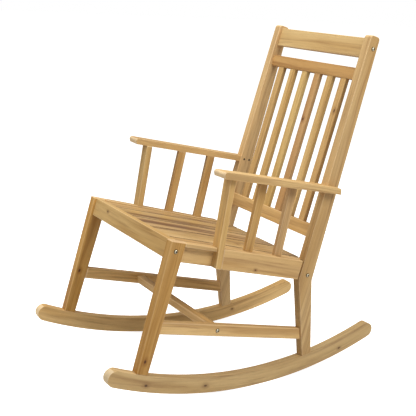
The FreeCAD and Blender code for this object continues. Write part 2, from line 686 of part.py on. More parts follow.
cross_half = inner_half(-S["cross_y"] + S["cross_size"] / 2.0)
cross = cross_piece("cross_stretcher", inner_half(-S["cross_y"] - S["cross_size"] / 2.0), cross_half,
                    S["cross_size"], S["cross_size"])
bolt_bores(cross, cross_half, S["cross_size"] / 2.0, S["cross_size"] / 2.0)
cross_base = (-S["cross_y"] - S["cross_size"] / 2.0, cross_level - S["cross_size"] / 2.0)
cross.Placement = FreeCAD.Placement(FreeCAD.Vector(0, cross_base[0].value, cross_base[1].value),
                                    FreeCAD.Rotation())
cross.setExpression("Placement.Base.y", cross_base[0].text)
cross.setExpression("Placement.Base.z", cross_base[1].text)


# ------------------------------------------------------------------ back
def back_half(depth, along):
    return inner_half(on_post(depth, along)[0])


def back_rail(name, base, height, setback, tenon):
    """A rail between the rear posts; its ends are cut for its upper edge, where the room is least."""
    thick = S["back_rail_thick"]
    near = back_half(setback, base + height)
    far = back_half(setback + thick, base + height)
    body = cross_piece(name, near, far, thick, height, tenon)
    lean_on_post(body, setback, base)
    return body, far


top_rail, top_half = back_rail("top_back_rail", S["top_rail_base"], S["top_rail_height"],
                               S["rail_setback"], None)
bolt_bores(top_rail, top_half, S["back_rail_thick"] / 2.0, S["top_rail_height"] / 2.0)
upper_rail, _ = back_rail("upper_slat_rail", S["upper_rail_base"], S["upper_rail_height"], S["rail_setback"],
                          S["tenon_length"])
lower_rail, _ = back_rail("lower_slat_rail", S["lower_rail_base"], S["lower_rail_height"],
                          S["lower_rail_setback"], S["tenon_length"])

rail_mid = S["back_rail_thick"] / 2.0
slat_low = on_post(S["lower_rail_setback"] + rail_mid,
                   S["lower_rail_base"] + S["lower_rail_height"] + S["slat_shoulder_gap"])
slat_high = on_post(S["rail_setback"] + rail_mid, S["upper_rail_base"] - S["slat_shoulder_gap"])
slat_lean = (slat_high[0] - slat_low[0]) / (slat_high[1] - slat_low[1])
slat_length = ((slat_high[0] - slat_low[0]) * (slat_high[0] - slat_low[0])
               + (slat_high[1] - slat_low[1]) * (slat_high[1] - slat_low[1])).root()
slat_centres = [S["slat_pitch"] * (number - (BACK_SLATS - 1) / 2.0) for number in range(BACK_SLATS)]
tenon_half = S["slat_width"] / 2.0 - S["tenon_shoulder"]
slot_half_x = tenon_half + S["slat_play"]
slot_half_y = S["slat_thick"] / 2.0 + S["slat_play"]
slot_depth = S["tenon_length"] + S["mortise_spare"]
for body, lift, upward in ((upper_rail, ZERO, True), (lower_rail, S["lower_rail_height"], False)):
    sketch = new_sketch(body, "slat_mortises", "XY_Plane", lift)
    for centre in slat_centres:
        add_polygon(sketch, [(centre - slot_half_x, rail_mid - slot_half_y),
                             (centre + slot_half_x, rail_mid - slot_half_y),
                             (centre + slot_half_x, rail_mid + slot_half_y),
                             (centre - slot_half_x, rail_mid + slot_half_y)])
    pocket(body, sketch, slot_depth, reverse=upward)

sketch = new_sketch(upper_rail, "bevel", "YZ_Plane")
add_polygon(sketch, [(ZERO, ZERO), (S["upper_rail_bevel_in"], ZERO), (ZERO, S["upper_rail_bevel"])])
pocket(upper_rail, sketch, S["frame_half_width"] * 2.0, middle=True)

half_width = S["slat_width"] / 2.0
for number, centre in enumerate(slat_centres, start=1):
    body = new_body("back_slat_%d" % number)
    sketch = new_sketch(body, "outline", "XZ_Plane")
    reach = S["tenon_length"]
    add_polygon(sketch, [(-half_width, ZERO), (-tenon_half, ZERO), (-tenon_half, -reach), (tenon_half, -reach),
                         (tenon_half, ZERO), (half_width, ZERO), (half_width, slat_length),
                         (tenon_half, slat_length), (tenon_half, slat_length + reach),
                         (-tenon_half, slat_length + reach), (-tenon_half, slat_length),
                         (-half_width, slat_length)])
    pad(body, sketch, S["slat_thick"], middle=True)
    body.Placement = FreeCAD.Placement(
        FreeCAD.Vector(centre.value, slat_low[0].value, slat_low[1].value),
        FreeCAD.Rotation(FreeCAD.Vector(1, 0, 0), -math.degrees(math.atan(slat_lean.value))))
    body.setExpression("Placement.Base.x", centre.text)
    body.setExpression("Placement.Base.y", slat_low[0].text)
    body.setExpression("Placement.Base.z", slat_low[1].text)
    body.setExpression("Placement.Rotation.Angle", "-1 * atan(%s)" % slat_lean.text)
doc.recompute()


# ------------------------------------------------------------------ fastenings, grouped by kind
def frame_point(side, outward, y, z):
    """World position of a point of a side frame."""
    across = splay_cos.value
    along = splay_sin.value
    return FreeCAD.Vector(side * (S["frame_half_width"].value + outward * across - y * along),
                          y * across + outward * along, z)


def inward(side):
    return FreeCAD.Vector(-side * splay_cos.value, -splay_sin.value, 0)


shank_radius = S["bolt_shank"].value / 2.0
head_radius = S["bolt_head"].value / 2.0
head_height = S["bolt_head_height"].value
# shapes of the fastenings that no joint depends on: shares of a head's radius or height, and millimetres
WASHER_THICK = 1.0
WASHER_RIM = 1.0
DOME_SHARE = 0.62
SOCKET_SHARE = 0.42
SOCKET_DEPTH_SHARE = 0.7
BOLT_SHORTER = 4.0
SCREW_SLOT_SHARE = 0.6
SCREW_SLOT_WIDE = 0.9
SCREW_SLOT_DEEP = 0.8
TOUCHING = 0.01


def bolt(side, point, face, reach):
    """A domed bolt with a washer under its head; `face` is how far its seat lies outside the frame."""
    y, z = point[0].value, point[1].value
    seat = frame_point(side, face, y, z)
    axis = inward(side)
    washer = Part.makeCylinder(head_radius + WASHER_RIM, WASHER_THICK, seat - axis * WASHER_THICK, axis)
    under_head = seat - axis * WASHER_THICK
    dome = Part.makeCone(head_radius, head_radius * DOME_SHARE, head_height, under_head, axis * -1)
    shank = Part.makeCylinder(shank_radius, reach + WASHER_THICK, under_head, axis)
    socket = Part.makeCylinder(head_radius * SOCKET_SHARE, head_height * SOCKET_DEPTH_SHARE,
                               under_head - axis * head_height, axis)
    return washer.fuse(dome).fuse(shank).cut(socket).removeSplitter()


bolt_sets = {
    "apron_bolts": [(side, apron_bolt, 0.0, S["member"].value) for _, side in SIDES],
    "rear_rail_bolts": [(side, rear_bolt, 0.0, S["member"].value) for _, side in SIDES],
    "top_rail_bolts": [(side, top_bolt, 0.0, S["member"].value) for _, side in SIDES],
    "stretcher_bolts": [(side, cross_bolt, -S["stretcher_inset"].value, S["stretcher_thick"].value)
                        for _, side in SIDES],
}
grip = S["bolt_grip"].value - BOLT_SHORTER
for name, entries in bolt_sets.items():
    solids_node(name, [bolt(side, point, face, through + grip) for side, point, face, through in entries])


def barrel_nut(body, half_back, centre_y, centre_z, side):
    """A barrel nut standing in its bore, bored for the bolt that crosses it."""
    radius = S["nut_diameter"].value / 2.0
    height = S["nut_height"].value
    x = side * (half_back.value - S["nut_back"].value)
    base = FreeCAD.Vector(x, centre_y.value, centre_z.value - height / 2.0)
    nut = Part.makeCylinder(radius, height, base)
    nut.Placement = body.Placement.multiply(nut.Placement)
    return nut


nuts = []
nut_places = [
    (apron, apron_half_back, S["apron_thick"] / 2.0, S["apron_height"] / 2.0),
    (rear_rail, rear_half_back, S["rear_rail_thick"] / 2.0, S["rear_rail_height"] / 2.0),
    (top_rail, top_half, S["back_rail_thick"] / 2.0, S["top_rail_height"] / 2.0),
    (cross, cross_half, S["cross_size"] / 2.0, S["cross_size"] / 2.0),
]
all_bolts = [solid for item in made if item.Label in bolt_sets for solid in item.Shape.Solids]
for body, half, centre_y, centre_z in nut_places:
    for _, side in SIDES:
        nut = barrel_nut(body, half, centre_y, centre_z, side)
        for solid in all_bolts:
            if nut.distToShape(solid)[0] < TOUCHING:
                nut = nut.cut(solid)
        nuts.extend(nut.Solids)
solids_node("barrel_nuts", nuts)


def screw(seat, axis, length):
    """A flat countersunk screw whose head's top is at `seat`, pointing along `axis`."""
    radius = S["screw_head"].value / 2.0
    shank = S["screw_shank"].value / 2.0
    depth = S["screw_head_height"].value
    head = Part.makeCylinder(radius, depth, seat, axis)
    stem = Part.makeCylinder(shank, length, seat, axis)
    half_slot = radius * SCREW_SLOT_SHARE
    slot = Part.makeBox(half_slot * 2.0, SCREW_SLOT_WIDE, SCREW_SLOT_DEEP)
    slot.translate(FreeCAD.Vector(-half_slot, -SCREW_SLOT_WIDE / 2.0, 0))
    cross_slot = slot.copy()
    cross_slot.rotate(FreeCAD.Vector(0, 0, 0), FreeCAD.Vector(0, 0, 1), 90)
    turn = FreeCAD.Placement(seat, FreeCAD.Rotation(FreeCAD.Vector(0, 0, 1), axis))
    slot.Placement = turn.multiply(slot.Placement)
    cross_slot.Placement = turn.multiply(cross_slot.Placement)
    return head.fuse(stem).cut(slot).cut(cross_slot).removeSplitter()


seat_body = [item for item in made if item.Label == "seat_board_3"][0]
down = seat_body.Placement.Rotation.multVec(FreeCAD.Vector(0, 0, -1))
seat_screws = []
for x, along in board_screws:
    top = seat_body.Placement.multVec(FreeCAD.Vector(
        x.value, along.value, S["board_thick"].value - S["screw_sink"].value))
    seat_screws.append(screw(top, down, S["screw_length"].value - S["screw_sink"].value * 2.0))
solids_node("seat_screws", seat_screws)

arm_screws = []
for _, side in SIDES:
    axis = inward(side) * -1
    for y, z in arm_screw_marks:
        start = frame_point(side, S["screw_sink"].value - S["member"].value, y.value, z.value)
        arm_screws.append(screw(start, axis, S["member"].value - S["screw_sink"].value
                                + S["arm_screw_bite"].value))
solids_node("arm_screws", arm_screws)

# ------------------------------------------------------------------ check and write
doc.recompute()
for item in doc.Objects:
    if any(word in ("Invalid", "Error") for word in item.State):
        raise RuntimeError("object %s is in state %s" % (item.Label, item.State))
os.makedirs("parts", exist_ok=True)
for item in made:
    if item.Shape.isNull() or not item.Shape.isValid():
        raise RuntimeError("shape of %s is not valid" % item.Label)
    item.Shape.exportStep("parts/%s.step" % item.Label)
print("wrote %d parts" % len(made))
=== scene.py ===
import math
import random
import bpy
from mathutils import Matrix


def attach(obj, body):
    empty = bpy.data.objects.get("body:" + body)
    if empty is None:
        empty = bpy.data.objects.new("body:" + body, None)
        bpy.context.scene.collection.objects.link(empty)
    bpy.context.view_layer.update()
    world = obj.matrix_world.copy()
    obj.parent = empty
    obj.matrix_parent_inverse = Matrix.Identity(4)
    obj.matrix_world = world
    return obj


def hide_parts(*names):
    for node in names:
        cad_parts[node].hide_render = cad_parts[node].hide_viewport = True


bl_info = {
    "name": "Slatted rocking chair",
    "version": (1, 0, 0),
    "blender": (4, 5, 0),
    "location": "3D View > Sidebar > Rocking Chair",
    "description": "Makes the timber and fastenings of a slatted rocking chair, in a plain studio",
    "category": "Object",
}

import bmesh
import bpy
import numpy as np
from bpy.props import FloatProperty, FloatVectorProperty, IntProperty, PointerProperty
from mathutils import Matrix, Vector

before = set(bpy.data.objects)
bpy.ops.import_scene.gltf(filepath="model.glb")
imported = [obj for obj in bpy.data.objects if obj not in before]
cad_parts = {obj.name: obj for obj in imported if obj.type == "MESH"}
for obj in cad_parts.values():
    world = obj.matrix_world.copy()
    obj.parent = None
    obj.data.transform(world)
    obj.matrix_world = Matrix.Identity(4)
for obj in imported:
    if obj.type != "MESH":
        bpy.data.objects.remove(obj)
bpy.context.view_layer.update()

BODY = "root"
SIDE_WORDS = ("left", "right")
ROCKERS = ["rocker_%s" % side for side in SIDE_WORDS]
BACK_SLATS = sorted(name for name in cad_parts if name.startswith("back_slat_"))
SEAT_BOARDS = sorted(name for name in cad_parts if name.startswith("seat_board_"))
BOLT_NODES = ["apron_bolts", "rear_rail_bolts", "top_rail_bolts", "stretcher_bolts"]
SCREW_NODES = ["seat_screws", "arm_screws"]

# How each board differs from the common colour of the timber: warmer, richer and lighter, mostly -1 to 1;
# lighter also holds painted light that lifts boards lying in shade, such as rocker_right and
# side_stretcher_right.
BOARD_TINTS = {
    "back_slat_1": (0.1, 0.2, 0.1), "back_slat_2": (0.0, 0.4, 0.3), "back_slat_3": (-0.5, 0.3, 0.5),
    "back_slat_4": (0.9, 0.3, -0.5), "back_slat_5": (-0.2, 0.1, 0.6), "back_slat_6": (0.2, 0.3, 0.3),
    "top_back_rail": (-0.3, -0.2, 0.5), "upper_slat_rail": (0.8, 0.8, -0.45),
    "lower_slat_rail": (0.1, 0.3, 0.7),
    "rocker_left": (-0.3, -0.5, 0.2), "rocker_right": (-0.1, 0.0, 2.1),
    "front_leg_left": (0.75, 1.35, -0.95), "front_leg_right": (0.6, 1.3, 0.3),
    "rear_post_left": (0.1, -0.1, -0.1), "rear_post_right": (0.1, -0.3, 1.1),
    "seat_board_1": (0.2, 0.1, -0.5), "seat_board_2": (-0.1, 0.2, -0.6), "seat_board_3": (0.3, 0.0, -0.8),
    "seat_board_4": (0.0, 0.1, -0.5), "seat_board_5": (0.3, 0.2, -0.6),
    "front_apron": (0.0, 0.4, 0.0), "side_board_left": (0.3, 0.2, 0.35), "side_rail_left": (0.2, 0.2, 0.6),
    "arm_left": (0.0, 0.0, 0.7), "arm_right": (0.1, 0.1, 0.3), "arm_front_post_left": (-0.2, 0.1, 1.3),
    "side_stretcher_left": (0.0, 0.0, 1.6), "side_stretcher_right": (0.1, 0.2, 2.6),
    "cross_stretcher": (0.0, 0.0, 1.5),
    "arm_slat_1_right": (0.3, 0.5, -0.5), "arm_slat_2_right": (0.3, 0.5, -0.8),
}
# Knots on a board: distance across from the middle, distance along from the middle, and radius, in metres.
BOARD_KNOTS = {
    "back_slat_6": [(0.004, 0.130, 0.0036)], "back_slat_4": [(-0.004, 0.080, 0.004)],
    "front_apron": [(0.008, -0.150, 0.003)], "front_leg_left": [(0.002, -0.160, 0.004)],
    "rocker_left": [(0.004, -0.430, 0.004), (0.002, -0.215, 0.0042), (0.006, 0.330, 0.003)],
    "front_leg_right": [(-0.003, -0.053, 0.004)],
    "side_board_left": [(-0.019, 0.023, 0.0026), (-0.010, -0.090, 0.0018)],
    "seat_board_4": [(0.012, -0.040, 0.004)], "rocker_right": [(-0.003, 0.210, 0.003)],
}
NO_KNOT = (9.0, 9.0, 0.004)
# How strong the dark streaks of a board are, from 0 to 1.
BOARD_FIGURE = {
    "front_leg_left": 0.22, "front_leg_right": 0.5, "rear_post_left": 0.25, "rear_post_right": 0.3,
    "top_back_rail": 0.25, "rocker_right": 0.2, "side_stretcher_right": 0.6,
}
BOARD_FIGURE.update({node: 1.0 for node in SEAT_BOARDS})
USUAL_FIGURE = 0.34
# A rocker's curve is divided every CURVE_STEP radians, CURVE_CUTS times each way from its lowest point.
CURVE_STEP = 0.0105
CURVE_CUTS = 40
# Angles between faces: below FLAT they are one face, above SHARP their edge is eased,
# and above CREASE it is shaded sharp.
FLAT = math.radians(0.3)
SHARP = math.radians(25.0)
CREASE = math.radians(50.0)
# Metres: points closer than WELD are one, rims smaller than HOLE_SPAN stay sharp,
# and a fastening's head lies within HEAD_SLICE of its end.
WELD = 1e-6
HOLE_SPAN = 0.06
HEAD_SLICE = 0.0035
ROCKER_ROUND = 0.003
STRETCHER_ROUND = 0.0035
# How nearly a face looks along an axis to count as a sawn end, or as a wall of a gap between seat boards.
END_FACING = 0.6
WALL_FACING = 0.8
# Fixed colours of the finishes, of the painted highlight on eased edges and of the painted shade in the
# gaps between seat boards.
HEART_BROWN = (0.17, 0.075, 0.024)
SAWN_END = (0.76, 0.60, 0.38)
# painted highlight on the eased edges
EDGE_HIGHLIGHT = (0.86, 0.66, 0.40)
# painted shade on the walls of the gaps between seat boards
GAP_SHADE = (0.10, 0.05, 0.02)
DULL_PLATING = (0.42, 0.36, 0.25)
WHITE = (1.0, 1.0, 1.0, 1.0)
FLOOR_BOUNCE = (0.66, 0.66, 0.66, 1.0)
FLOOR_GLOW = 0.86
# Metres: half the width of the floor, and how much shorter a slat is than its CAD length.
FLOOR_REACH = 30.0
SLAT_SHORTER = 0.0004


# ---- what a user may change
class TimberSettings(bpy.types.PropertyGroup):
    """Edges and colours of the timber."""

    edge_round: FloatProperty(
        name="Edge round", description="How far the eased edge of a board reaches over its faces",
        default=0.0022, min=0.0002, max=0.01, unit="LENGTH")
    edge_steps: IntProperty(
        name="Edge steps", description="Facets across an eased edge", default=3, min=1, max=8)
    arm_round: FloatProperty(
        name="Arm round", description="Eased edge of the arms, which a hand rests on",
        default=0.0045, min=0.0002, max=0.01, unit="LENGTH")
    pale: FloatVectorProperty(
        name="Pale timber", description="Colour of the lightest timber", subtype="COLOR",
        default=(0.66, 0.445, 0.190), min=0.0, max=1.0)
    honey: FloatVectorProperty(
        name="Honey timber", description="Main colour of the timber", subtype="COLOR",
        default=(0.52, 0.315, 0.110), min=0.0, max=1.0)
    umber: FloatVectorProperty(
        name="Dark grain", description="Colour of the dark streaks and late wood", subtype="COLOR",
        default=(0.25, 0.115, 0.036), min=0.0, max=1.0)
    knot_brown: FloatVectorProperty(
        name="Knots", description="Colour at the heart of a knot", subtype="COLOR",
        default=(0.075, 0.032, 0.012), min=0.0, max=1.0)
    ring_pitch: FloatProperty(
        name="Ring pitch", description="Usual distance between growth rings", default=0.0105, unit="LENGTH")


class FasteningSettings(bpy.types.PropertyGroup):
    """Bolts, washers and screws."""

    plating: FloatVectorProperty(
        name="Plating", description="Colour of the plated bolts and screws", subtype="COLOR",
        default=(0.86, 0.80, 0.60), min=0.0, max=1.0)
    # The recess colour serves random grime and painted shade: in the drive recesses, round the rims of the
    # heads, and over the screw heads.
    recess: FloatVectorProperty(
        name="Recess", description="Colour of the grime in the drive recesses", subtype="COLOR",
        default=(0.05, 0.04, 0.025), min=0.0, max=1.0)
    washer_thick: FloatProperty(
        name="Washer", description="Thickness of a washer", default=0.001, unit="LENGTH")


class StudioSettings(bpy.types.PropertyGroup):
    """Camera, floor and lights."""

    camera_place: FloatVectorProperty(
        name="Camera place", description="Where the camera stands", subtype="XYZ", unit="LENGTH",
        default=(2.2622, -1.4979, 1.2044))
    camera_target: FloatVectorProperty(
        name="Camera target", description="Point in the middle of the view", subtype="XYZ", unit="LENGTH",
        default=(-0.0026, -0.0713, 0.5152))
    camera_roll: FloatProperty(
        name="Camera roll", description="Turn of the camera about its view", subtype="ANGLE",
        default=math.radians(3.44))
    lens: FloatProperty(name="Lens", description="Focal length in millimetres", default=73.27)
    camera_shift: FloatVectorProperty(
        name="Camera shift", description="Lens shift across and up", size=2, default=(0.0021, 0.0029))
    floor_colour: FloatVectorProperty(
        name="Floor", description="Colour of the floor", subtype="COLOR", default=(0.93, 0.93, 0.925))
    key_power: FloatProperty(name="Key light", description="Power of the main soft light", default=64.0,
                             subtype="POWER", unit="POWER")
    fill_power: FloatProperty(name="Fill light", description="Power of the soft light on the shaded side",
                              default=34.0, subtype="POWER", unit="POWER")
    top_power: FloatProperty(name="Top light", description="Power of the soft light overhead",
                             default=40.0, subtype="POWER", unit="POWER")
    room_light: FloatProperty(name="Room light", description="Strength of the light from all round",
                              default=0.33)


class RockingChairSettings(bpy.types.PropertyGroup):
    """Everything the panel shows."""

    timber: PointerProperty(type=TimberSettings)
    fastenings: PointerProperty(type=FasteningSettings)
    studio: PointerProperty(type=StudioSettings)


def put_in_scene(name, data):
    """An object of the scene that holds a mesh, lamp or camera."""
    made = bpy.data.objects.new(name, data)
    bpy.context.scene.collection.objects.link(made)
    return made


# ---- node helpers
class Wiring:
    """Adds nodes to a tree and joins them."""

    def __init__(self, tree):
        self.tree = tree

    def node(self, kind, label=None, inputs=None, **settings):
        made = self.tree.nodes.new(kind)
        if label:
            made.label = label
        for name, value in settings.items():
            setattr(made, name, value)
        for name, value in (inputs or {}).items():
            self.feed(made.inputs[name], value)
        return made

    def join(self, source, target):
        self.tree.links.new(source, target)

    def feed(self, socket, value):
        """A number or vector is set on the socket; another socket is joined to it."""
        if isinstance(value, bpy.types.NodeSocket):
            self.join(value, socket)
        else:
            socket.default_value = value

    def math(self, operation, first, second=0.0, clamp=False):
        settings = {"operation": operation, "use_clamp": clamp}
        return self.node("ShaderNodeMath", inputs={0: first, 1: second}, **settings).outputs[0]

    def vector_math(self, operation, first, second=(0.0, 0.0, 0.0)):
        made = self.node("ShaderNodeVectorMath", operation=operation, inputs={0: first, 1: second})
        return made.outputs["Value" if operation == "LENGTH" else "Vector"]

    def times(self, first, second):
        return self.math("MULTIPLY", first, second)

    def plus(self, first, second):
        return self.math("ADD", first, second)

    def minus(self, first, second):
        return self.math("SUBTRACT", first, second)

    def scaled(self, vector, by):
        return self.vector_math("MULTIPLY", vector, by)

    def split(self, vector):
        made = self.node("ShaderNodeSeparateXYZ", inputs={0: vector})
        return made.outputs[0], made.outputs[1], made.outputs[2]

    def combine(self, x, y, z):
        return self.node("ShaderNodeCombineXYZ", inputs={0: x, 1: y, 2: z}).outputs[0]

    def remap(self, value, low, high, out_low=0.0, out_high=1.0, smooth=False):
        kind = "SMOOTHSTEP" if smooth else "LINEAR"
        return self.node("ShaderNodeMapRange", interpolation_type=kind, inputs={
            "Value": value, "From Min": low, "From Max": high, "To Min": out_low,
            "To Max": out_high}).outputs["Result"]

    def noise(self, place, scale=1.0, detail=2.0, roughness=0.5, colour=False):
        made = self.node("ShaderNodeTexNoise", inputs={
            "Vector": place, "Scale": scale, "Detail": detail, "Roughness": roughness})
        return made.outputs["Color" if colour else "Fac"]

    def mix(self, factor, first, second):
        made = self.node("ShaderNodeMix", data_type="RGBA", inputs={0: factor})
        for socket, value in ((made.inputs[6], first), (made.inputs[7], second)):
            if not isinstance(value, bpy.types.NodeSocket) and len(value) == 3:
                value = (*value, 1.0)
            self.feed(socket, value)
        return made.outputs[2]

    def attribute(self, name, output):
        return self.node("ShaderNodeAttribute", attribute_name=name, label=name).outputs[output]


def fresh_material(name):
    material = bpy.data.materials.new(name)
    material.use_nodes = True
    tree = material.node_tree
    tree.nodes.clear()
    wiring = Wiring(tree)
    output = wiring.node("ShaderNodeOutputMaterial")
    surface = wiring.node("ShaderNodeBsdfPrincipled")
    wiring.join(surface.outputs[0], output.inputs[0])
    return material, wiring, surface


# ---- finishes
def oiled_timber(settings):
    """Oiled hardwood, which reads what is laid on each board.

    grain is the place in the board in metres: across its face, through its thickness, along its length.
    tint is the board's own tone, with painted light in it for boards that lie in shade; figure is the
    board's own, knot is the place from a knot, and the others mark faces.
    """
    material, w, surface = fresh_material("oiled_timber")
    grain, knot, tint = (w.attribute(name, "Vector") for name in ("grain", "knot", "tint"))
    end_cut, eased, figure, gap_wall = (
        w.attribute(name, "Fac") for name in ("end_cut", "eased", "figure", "gap_wall"))
    pale, honey, umber = (tuple(shade) for shade in (settings.pale, settings.honey, settings.umber))

    # fibres drift sideways as they run along the board
    drift = w.noise(w.scaled(grain, (7.0, 7.0, 2.2)), detail=2.0, colour=True)
    drift = w.scaled(w.vector_math("SUBTRACT", drift, (0.5, 0.5, 0.5)), (0.030, 0.030, 0.0))
    lie = w.vector_math("ADD", grain, drift)

    # knots push the rings aside
    knot_across, knot_along, knot_radius = w.split(knot)
    across = w.math("DIVIDE", knot_across, knot_radius)
    along = w.math("DIVIDE", knot_along, w.times(knot_radius, 1.5))
    ragged = w.noise(w.scaled(grain, (160.0, 160.0, 90.0)), detail=2.0)
    knot_distance = w.math("SQRT", w.plus(w.math("POWER", across, 2.0), w.math("POWER", along, 2.0)))
    knot_distance = w.plus(knot_distance, w.times(w.minus(ragged, 0.5), 0.9))
    knot_swirl = w.math("EXPONENT", w.times(w.math("POWER", knot_distance, 2.0), -0.10))

    # growth rings about a pith that lies beside the board
    lie_across, lie_through, _ = w.split(lie)
    pith = w.combine(lie_across, lie_through, 0.0)
    ring_place = w.plus(w.vector_math("LENGTH", pith), w.times(knot_swirl, 0.012))
    ring_count = w.math("DIVIDE", ring_place, settings.ring_pitch)
    uneven = w.noise(w.scaled(lie, (42.0, 42.0, 1.3)), detail=1.0)
    ring_count = w.plus(ring_count, w.times(uneven, 3.6))
    ring_phase = w.math("FRACT", ring_count)
    late_rise = w.remap(ring_phase, 0.25, 0.86, smooth=True)
    late_fall = w.remap(ring_phase, 0.86, 1.0, 1.0, 0.0, smooth=True)
    late_wood = w.times(late_rise, late_fall)

    # long soft streaks, broad patches and fine fibres
    patches = w.noise(w.scaled(lie, (16.0, 16.0, 1.5)), detail=3.0, roughness=0.55)
    streaks = w.noise(w.scaled(lie, (110.0, 110.0, 2.6)), detail=4.0, roughness=0.62)
    fibres = w.noise(w.scaled(lie, (900.0, 900.0, 22.0)), detail=3.0, roughness=0.7)
    pores = w.noise(w.scaled(lie, (1500.0, 1500.0, 70.0)), detail=1.0)
    pore_marks = w.remap(pores, 0.66, 0.74, 0.0, 1.0, smooth=True)

    colour = w.mix(w.remap(patches, 0.32, 0.66, smooth=True), honey, pale)
    colour = w.mix(w.times(late_wood, 0.10), colour, umber)
    dark_streak = w.remap(streaks, 0.50, 0.72, 0.0, 0.50, smooth=True)
    colour = w.mix(dark_streak, colour, umber)
    heart_streaks = w.noise(w.scaled(lie, (34.0, 34.0, 1.5)), detail=3.0, roughness=0.6)
    heart_dark = w.remap(heart_streaks, 0.48, 0.62, smooth=True)
    heart_dark = w.times(heart_dark, w.times(figure, 0.92))
    heart_brown = w.mix(figure, umber, HEART_BROWN)
    colour = w.mix(heart_dark, colour, heart_brown)
    pale_streak = w.remap(streaks, 0.46, 0.30, 0.0, 0.30, smooth=True)
    colour = w.mix(pale_streak, colour, pale)
    colour = w.mix(w.remap(fibres, 0.35, 0.70, 0.0, 0.16), colour, umber)
    colour = w.mix(w.times(pore_marks, 0.30), colour, umber)

    knot_shade = w.remap(knot_distance, 3.6, 0.9, 0.0, 0.55, smooth=True)
    colour = w.mix(knot_shade, colour, umber)
    knot_heart = w.remap(knot_distance, 1.15, 0.55, 0.0, 0.9, smooth=True)
    colour = w.mix(knot_heart, colour, tuple(settings.knot_brown))

    # sawn ends drink more oil but show their pale rings; eased edges get a painted highlight, mixed towards
    # a lighter colour
    colour = w.mix(w.times(end_cut, 0.55), colour, SAWN_END)
    colour = w.mix(w.times(eased, 0.20), colour, EDGE_HIGHLIGHT)
    # painted shade on the walls of the gaps between seat boards
    colour = w.mix(w.times(gap_wall, 0.85), colour, GAP_SHADE)

    # the lighter part of the tint carries painted light on boards that lie in shade, as well as each
    # board's own tone
    warmer, richer, lighter = w.split(tint)
    board = w.node("ShaderNodeHueSaturation", "board to board", inputs={
        "Hue": w.minus(0.5, w.times(warmer, 0.012)), "Saturation": w.plus(1.0, w.times(richer, 0.12)),
        "Value": w.plus(1.0, w.times(lighter, 0.14)), "Color": colour})
    w.join(board.outputs[0], surface.inputs["Base Color"])

    rough = w.remap(streaks, 0.3, 0.75, 0.44, 0.60)
    rough = w.math("ADD", rough, w.times(end_cut, 0.15), clamp=True)
    w.join(rough, surface.inputs["Roughness"])
    surface.inputs["Specular IOR Level"].default_value = 0.38

    relief = w.plus(w.times(fibres, 0.6), w.times(late_wood, 0.35))
    relief = w.minus(relief, w.times(pore_marks, 0.5))
    relief = w.minus(relief, w.times(knot_heart, 0.8))
    bump = w.node("ShaderNodeBump", inputs={"Strength": 0.22, "Distance": 0.0006, "Height": relief})
    w.join(bump.outputs[0], surface.inputs["Normal"])
    return material


def plated_steel(name, settings, darker=0.0):
    """Yellow zinc plating, a little dulled."""
    material, w, surface = fresh_material(name)
    place = w.node("ShaderNodeTexCoord").outputs["Object"]
    bloom = w.noise(place, scale=900.0, detail=3.0, roughness=0.6)
    grime = w.noise(place, scale=260.0, detail=2.0)
    colour = w.mix(w.remap(bloom, 0.35, 0.7, 0.0, 0.6), tuple(settings.plating), DULL_PLATING)
    # random grime; with a high darker, as for the screws, it is also painted shade that darkens the whole
    # head like a dark hole
    grime_and_hole_shade = w.remap(grime, 0.45, 0.75, darker, min(1.0, 0.30 + darker))
    colour = w.mix(grime_and_hole_shade, colour, tuple(settings.recess))
    # painted shade in the drive recesses and round the rims of the heads and washers
    painted_recess_shade = w.attribute("painted_recess_shade", "Fac")
    colour = w.mix(w.times(painted_recess_shade, 0.92), colour, tuple(settings.recess))
    w.join(colour, surface.inputs["Base Color"])
    w.join(w.remap(bloom, 0.3, 0.7, 0.28, 0.48), surface.inputs["Roughness"])
    surface.inputs["Metallic"].default_value = 1.0
    bump = w.node("ShaderNodeBump", inputs={"Strength": 0.12, "Distance": 0.0002, "Height": bloom})
    w.join(bump.outputs[0], surface.inputs["Normal"])
    return material


def pale_floor(settings):
    """A pale floor. What it throws back on the chair is kept lower than its own brightness."""
    material, w, surface = fresh_material("studio_floor")
    output = next(node for node in w.tree.nodes if node.type == "OUTPUT_MATERIAL")
    place = w.node("ShaderNodeTexCoord").outputs["Object"]
    cloud = w.noise(place, scale=1.4, detail=2.0)
    floor = tuple(settings.floor_colour)
    colour = w.mix(w.remap(cloud, 0.3, 0.7, 0.0, 0.03), floor, (0.85, 0.85, 0.85))
    w.join(colour, surface.inputs["Base Color"])
    surface.inputs["Roughness"].default_value = 0.9
    surface.inputs["Specular IOR Level"].default_value = 0.1
    surface.inputs["Emission Color"].default_value = WHITE
    surface.inputs["Emission Strength"].default_value = FLOOR_GLOW
    dim = w.node("ShaderNodeBsdfDiffuse", inputs={"Color": FLOOR_BOUNCE})
    chosen = w.node("ShaderNodeMixShader", inputs={
        0: w.node("ShaderNodeLightPath").outputs["Is Camera Ray"], 1: dim.outputs[0],
        2: surface.outputs[0]})
    w.join(chosen.outputs[0], output.inputs[0])
    return material


def finish_named(name, make):
    """A finish is made once and shared."""
    return bpy.data.materials.get(name) or make()


def timber():
    settings = bpy.context.scene.rocking_chair.timber
    return finish_named("oiled_timber", lambda: oiled_timber(settings))


def plating():
    settings = bpy.context.scene.rocking_chair.fastenings
    return finish_named("zinc_plating", lambda: plated_steel("zinc_plating", settings))


# Plating darkened nearly all over: painted shade that makes the screw heads read as dark holes.
def darkened_plating():
    settings = bpy.context.scene.rocking_chair.fastenings
    return finish_named("darkened_plating", lambda: plated_steel("darkened_plating", settings, 0.85))


